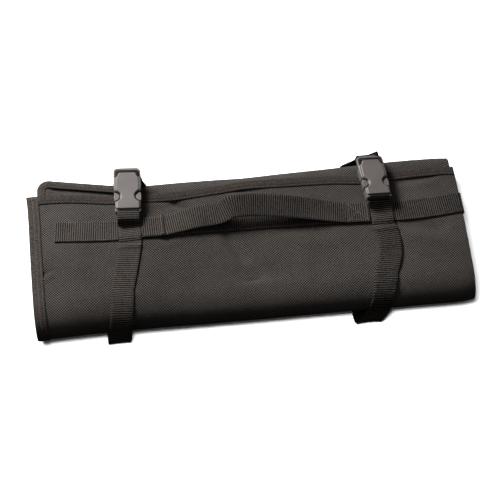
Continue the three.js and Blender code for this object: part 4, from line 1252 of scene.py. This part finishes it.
def moulded(name, parts, matrix):
    """One object from several mouldings, set in place by the buckle's matrix."""
    points, faces = [], []
    for part_points, part_faces in parts:
        faces += [[k + len(points) for k in face] for face in part_faces]
        points += [matrix @ Vector(p * MM) for p in part_points]
    made = mesh_object(name, points, faces, buckle_plastic)
    made.data.set_sharp_from_angle(angle=math.radians(40))
    face_outwards(made)
    return made


# %% Outlines of the buckle's parts
HOLLOW_X, HOLLOW_Y, HOLLOW_RADIUS = 14.3, 17.0, 6.8


def hollow_arc(radius, start, end, steps=11):
    """Part of the finger hollow's circle on the right-hand side, from one angle to another in degrees."""
    x, y = HOLLOW_X, HOLLOW_Y
    return [(x + radius * math.cos(math.radians(a)), y + radius * math.sin(math.radians(a)), 0)
            for a in np.linspace(start, end, steps)]


PLATE = mirrored([(12.8, 0.2, 1.6), (12.8, 9.6, 1.5), *hollow_arc(HOLLOW_RADIUS, -108, -240)[1:-1],
                  (13.0, 25.2, 1.5), (13.4, 33.0, 5.0), (12.6, 41.4, 2.0), (10.8, 44.0, 1.6),
                  (10.4, 46.4, 1.5), (8.6, 48.2, 1.5)])
BODY = mirrored([(14.2, 0.9, 1.2), (14.4, 10.2, 1.2), (8.8, 12.2, 0.6), (8.8, 21.8, 0.6), (14.8, 24.0, 2.0),
                 (15.9, 32.0, 5.0), (15.0, 41.6, 2.4), (12.0, 43.6, 1.8)])
PRONG = [(14.8, 11.4, 0.8), (15.4, 17.0, 6.0), (14.8, 22.8, 0.8),
         *reversed(hollow_arc(HOLLOW_RADIUS - 1.5, -114, -246, 9))]
FOOT = [(11.6, -2.5, 0.7), (14.2, -2.5, 0.9), (14.4, 3.0, 0.7), (11.6, 3.0, 0.7)]
FRAME = [(15.6, 35.0, 0.8), (15.5, 55.2, 5.4), (-15.5, 55.2, 5.4), (-15.6, 35.0, 0.8), (-13.4, 35.0, 0.8),
         (-12.8, 51.2, 2.4), (12.8, 51.2, 2.4), (13.4, 35.0, 0.8)]


def socket_parts():
    parts = [moulding(rounded(PLATE), 8.2, 11.8, 1.25), moulding(rounded(BODY), 1.0, 10.9, 1.6)]
    parts += [moulding(rounded(foot), 2.4, 9.6, 0.5) for foot in (FOOT, mirror_side(FOOT))]
    parts.append(rod(-12.4, 12.4, BAR_PLACE / MM, BAR_HEIGHT / MM, BAR / MM))
    return parts


def plug_parts():
    parts = [moulding(rounded(FRAME), 6.4, 10.0, 0.7)]
    parts += [moulding(rounded(prong), 2.6, 9.6, 0.6) for prong in (PRONG, mirror_side(PRONG))]
    parts.append(rod(-13.2, 13.2, INNER_BAR_PLACE / MM, INNER_BAR_HEIGHT / MM, INNER_BAR / MM))
    return parts


# %% Make the buckles
buckles = {}
for strap in STRAPS:
    matrix = buckle_frame(strap)
    for half, parts in (("socket", socket_parts()), ("plug", plug_parts())):
        buckles[f"buckle_{strap['name']}_{half}"] = moulded(f"moulded_{strap['name']}_{half}", parts, matrix)
print(len(buckles), "buckle halves")

# %% [markdown]
# Stitching
#
# Every seam is a row of short stitches. One Geometry Nodes tree makes them all: it cuts a line into even
# steps, puts a small rounded stitch on each, turned along the line, and makes the result real geometry.


# %% Stitch material and tree
def thread_material():
    made, tree, shader = new_material("sewing_thread")
    color = tinted(tree, patches(tree, 400.0, 2.0), (0.060, 0.052, 0.045), (0.14, 0.122, 0.107))
    fill_inputs(tree, shader, {"Base Color": color, "Roughness": 0.65})
    return made


sewing_thread = thread_material()


def stitch_tree():
    tree = bpy.data.node_groups.new("rows of stitches", "GeometryNodeTree")
    ports = {}
    for name, kind, direction in (("Line", "Geometry", "INPUT"), ("Step", "Float", "INPUT"),
                                  ("Stitch", "Float", "INPUT"), ("Thread", "Float", "INPUT"),
                                  ("Stitches", "Geometry", "OUTPUT")):
        port = tree.interface.new_socket(name, in_out=direction, socket_type="NodeSocket" + kind)
        ports[name] = port.identifier
    given = tree.nodes.new("NodeGroupInput")
    points = add_node(tree, "GeometryNodeCurveToPoints", {"Curve": given.outputs["Line"],
                                                          "Length": given.outputs["Step"]}, mode="LENGTH")
    ball = add_node(tree, "GeometryNodeMeshIcoSphere", {"Radius": 1.0, "Subdivisions": 1})
    size = add_node(tree, "ShaderNodeCombineXYZ", {0: given.outputs["Thread"], 1: given.outputs["Thread"],
                                                   2: given.outputs["Stitch"]})
    rows = add_node(tree, "GeometryNodeInstanceOnPoints", {
        "Points": points.outputs["Points"], "Instance": ball.outputs["Mesh"],
        "Rotation": points.outputs["Rotation"], "Scale": size.outputs[0]})
    real = add_node(tree, "GeometryNodeRealizeInstances", {"Geometry": rows.outputs[0]})
    smooth = add_node(tree, "GeometryNodeSetShadeSmooth", {"Geometry": real.outputs[0]})
    painted = add_node(tree, "GeometryNodeSetMaterial",
                       {"Geometry": smooth.outputs[0], "Material": sewing_thread})
    result = tree.nodes.new("NodeGroupOutput")
    tree.links.new(painted.outputs[0], result.inputs["Stitches"])
    return tree, ports


rows_of_stitches, stitch_ports = stitch_tree()


def sew(name, lines, step=3.0 * MM, stitch=1.15 * MM, thread=0.34 * MM):
    """Stitches along each of the lines, as one plain mesh."""
    curve = bpy.data.curves.new(name, "CURVE")
    curve.dimensions = "3D"
    for line in lines:
        spline = curve.splines.new("POLY")
        spline.points.add(len(line) - 1)
        spline.points.foreach_set("co", np.column_stack([line, np.ones(len(line))]).ravel())
    guide = add_object(name + "_guide", curve)
    modifier = guide.modifiers.new("stitches", "NODES")
    modifier.node_group = rows_of_stitches
    for port, value in (("Step", step), ("Stitch", stitch), ("Thread", thread)):
        modifier[stitch_ports[port]] = value
    view = bpy.context.evaluated_depsgraph_get()
    mesh = bpy.data.meshes.new_from_object(guide.evaluated_get(view))
    bpy.data.objects.remove(guide)
    mesh.name = name
    print(name, "has", len(mesh.polygons), "faces")
    return add_object(name, mesh)


# %% Sew the bindings
def seam(path, along, off):
    centres, inwards, normals = path
    return centres + along * inwards + off * normals


SUNK = 0.15 * MM
sheet_face = WALL / 2 + GAP + BINDING - SUNK
flap_face = FLAP_WALL / 2 + GAP + FLAP_BINDING - SUNK
stitches = [sew("end_stitches", [seam(end_path, along, sheet_face) for along in END_SEAMS]),
            sew("edge_stitches", [seam(edge_path, EDGE_SEAM, sheet_face)]),
            sew("flap_stitches", [seam(flap_path, FLAP_SEAM, flap_face)])]


# %% Sew the webbing
def on_band(frames, along, aside, off):
    """A point above a band's middle, from its distances along, aside and off in metres."""
    centres, sides, ups, places = frames
    k = int(np.clip(np.searchsorted(places, along), 0, len(places) - 1))
    return centres[k] + sides[k] * aside + ups[k] * off


def box_seam(frames, start, end, half, off, crossed):
    """A sewn box, with a cross in it if asked."""
    def run(a, b, count=24):
        return [on_band(frames, a[0] + (b[0] - a[0]) * t, a[1] + (b[1] - a[1]) * t, off)
                for t in np.linspace(0, 1, count)]
    corners = [(start, -half), (end, -half), (end, half), (start, half), (start, -half)]
    lines = [np.array(run(a, b)) for a, b in zip(corners, corners[1:])]
    if crossed:
        lines += [np.array(run((start, -half), (end, half))), np.array(run((start, half), (end, -half)))]
    return lines


BOX_INSET, BOX_HALF, GRIP_STITCH_OFF = 2 * MM, 10.5 * MM, 0.05 * MM
TAPE_SEAM_START, TAPE_SEAM_STOP, TAPE_SEAM_ASIDE = 1.5 * MM, 30 * MM, 11.6 * MM
grip_length, tape_length = grip[3][-1], tape[3][-1]
face = HANDLE_THICK / 2 + GRIP_STITCH_OFF
far_start, far_end = grip_length - GRIP_PATCH + BOX_INSET, grip_length - BOX_INSET
grip_boxes = box_seam(grip, BOX_INSET, GRIP_PATCH - BOX_INSET, BOX_HALF, face, False)
grip_boxes += box_seam(grip, far_start, far_end, BOX_HALF, face, True)
stitches.append(sew("grip_stitches", grip_boxes, step=2.6 * MM, stitch=1.1 * MM, thread=0.42 * MM))
tape_places = np.linspace(TAPE_SEAM_START, tape_length - TAPE_SEAM_STOP, 300)
tape_lines = [np.array([on_band(tape, place, aside, HANDLE_THICK / 2) for place in tape_places])
              for aside in (-TAPE_SEAM_ASIDE, TAPE_SEAM_ASIDE)]
stitches.append(sew("tape_stitches", tape_lines, step=2.8 * MM, stitch=1.1 * MM, thread=0.40 * MM))

# %% [markdown]
# Riding
#
# The roll has no joints, so every piece rides on the one body. Each piece is listed with one of the record's
# finishes, and all but the stitches with the CAD node they stand for, whose solid is hidden.

# %% Attach each piece and hide the CAD node it stands for
PIECES = [
    (roll_sheet, ["roll_sheet"], "cloth"),
    (end_binding, ["end_binding"], "binding"),
    (edge_binding, ["edge_binding"], "binding"),
    (inner_flap, ["inner_flap"], "cloth"),
    (flap_binding, ["flap_binding"], "binding"),
    (handle_tape, ["handle_tape"], "webbing"),
    (handle_grip, ["handle_grip"], "webbing"),
]
PIECES += [(straps[s["name"]], [f"strap_{s['name']}"], "webbing") for s in STRAPS]
PIECES += [(piece, [node], "plastic") for node, piece in buckles.items()]
PIECES += [(piece, [], "binding") for piece in stitches]
for piece, nodes, slot in PIECES:
    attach(piece, "root")
    if nodes:
        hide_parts(*nodes)

print(len(PIECES), "pieces ride on the roll")
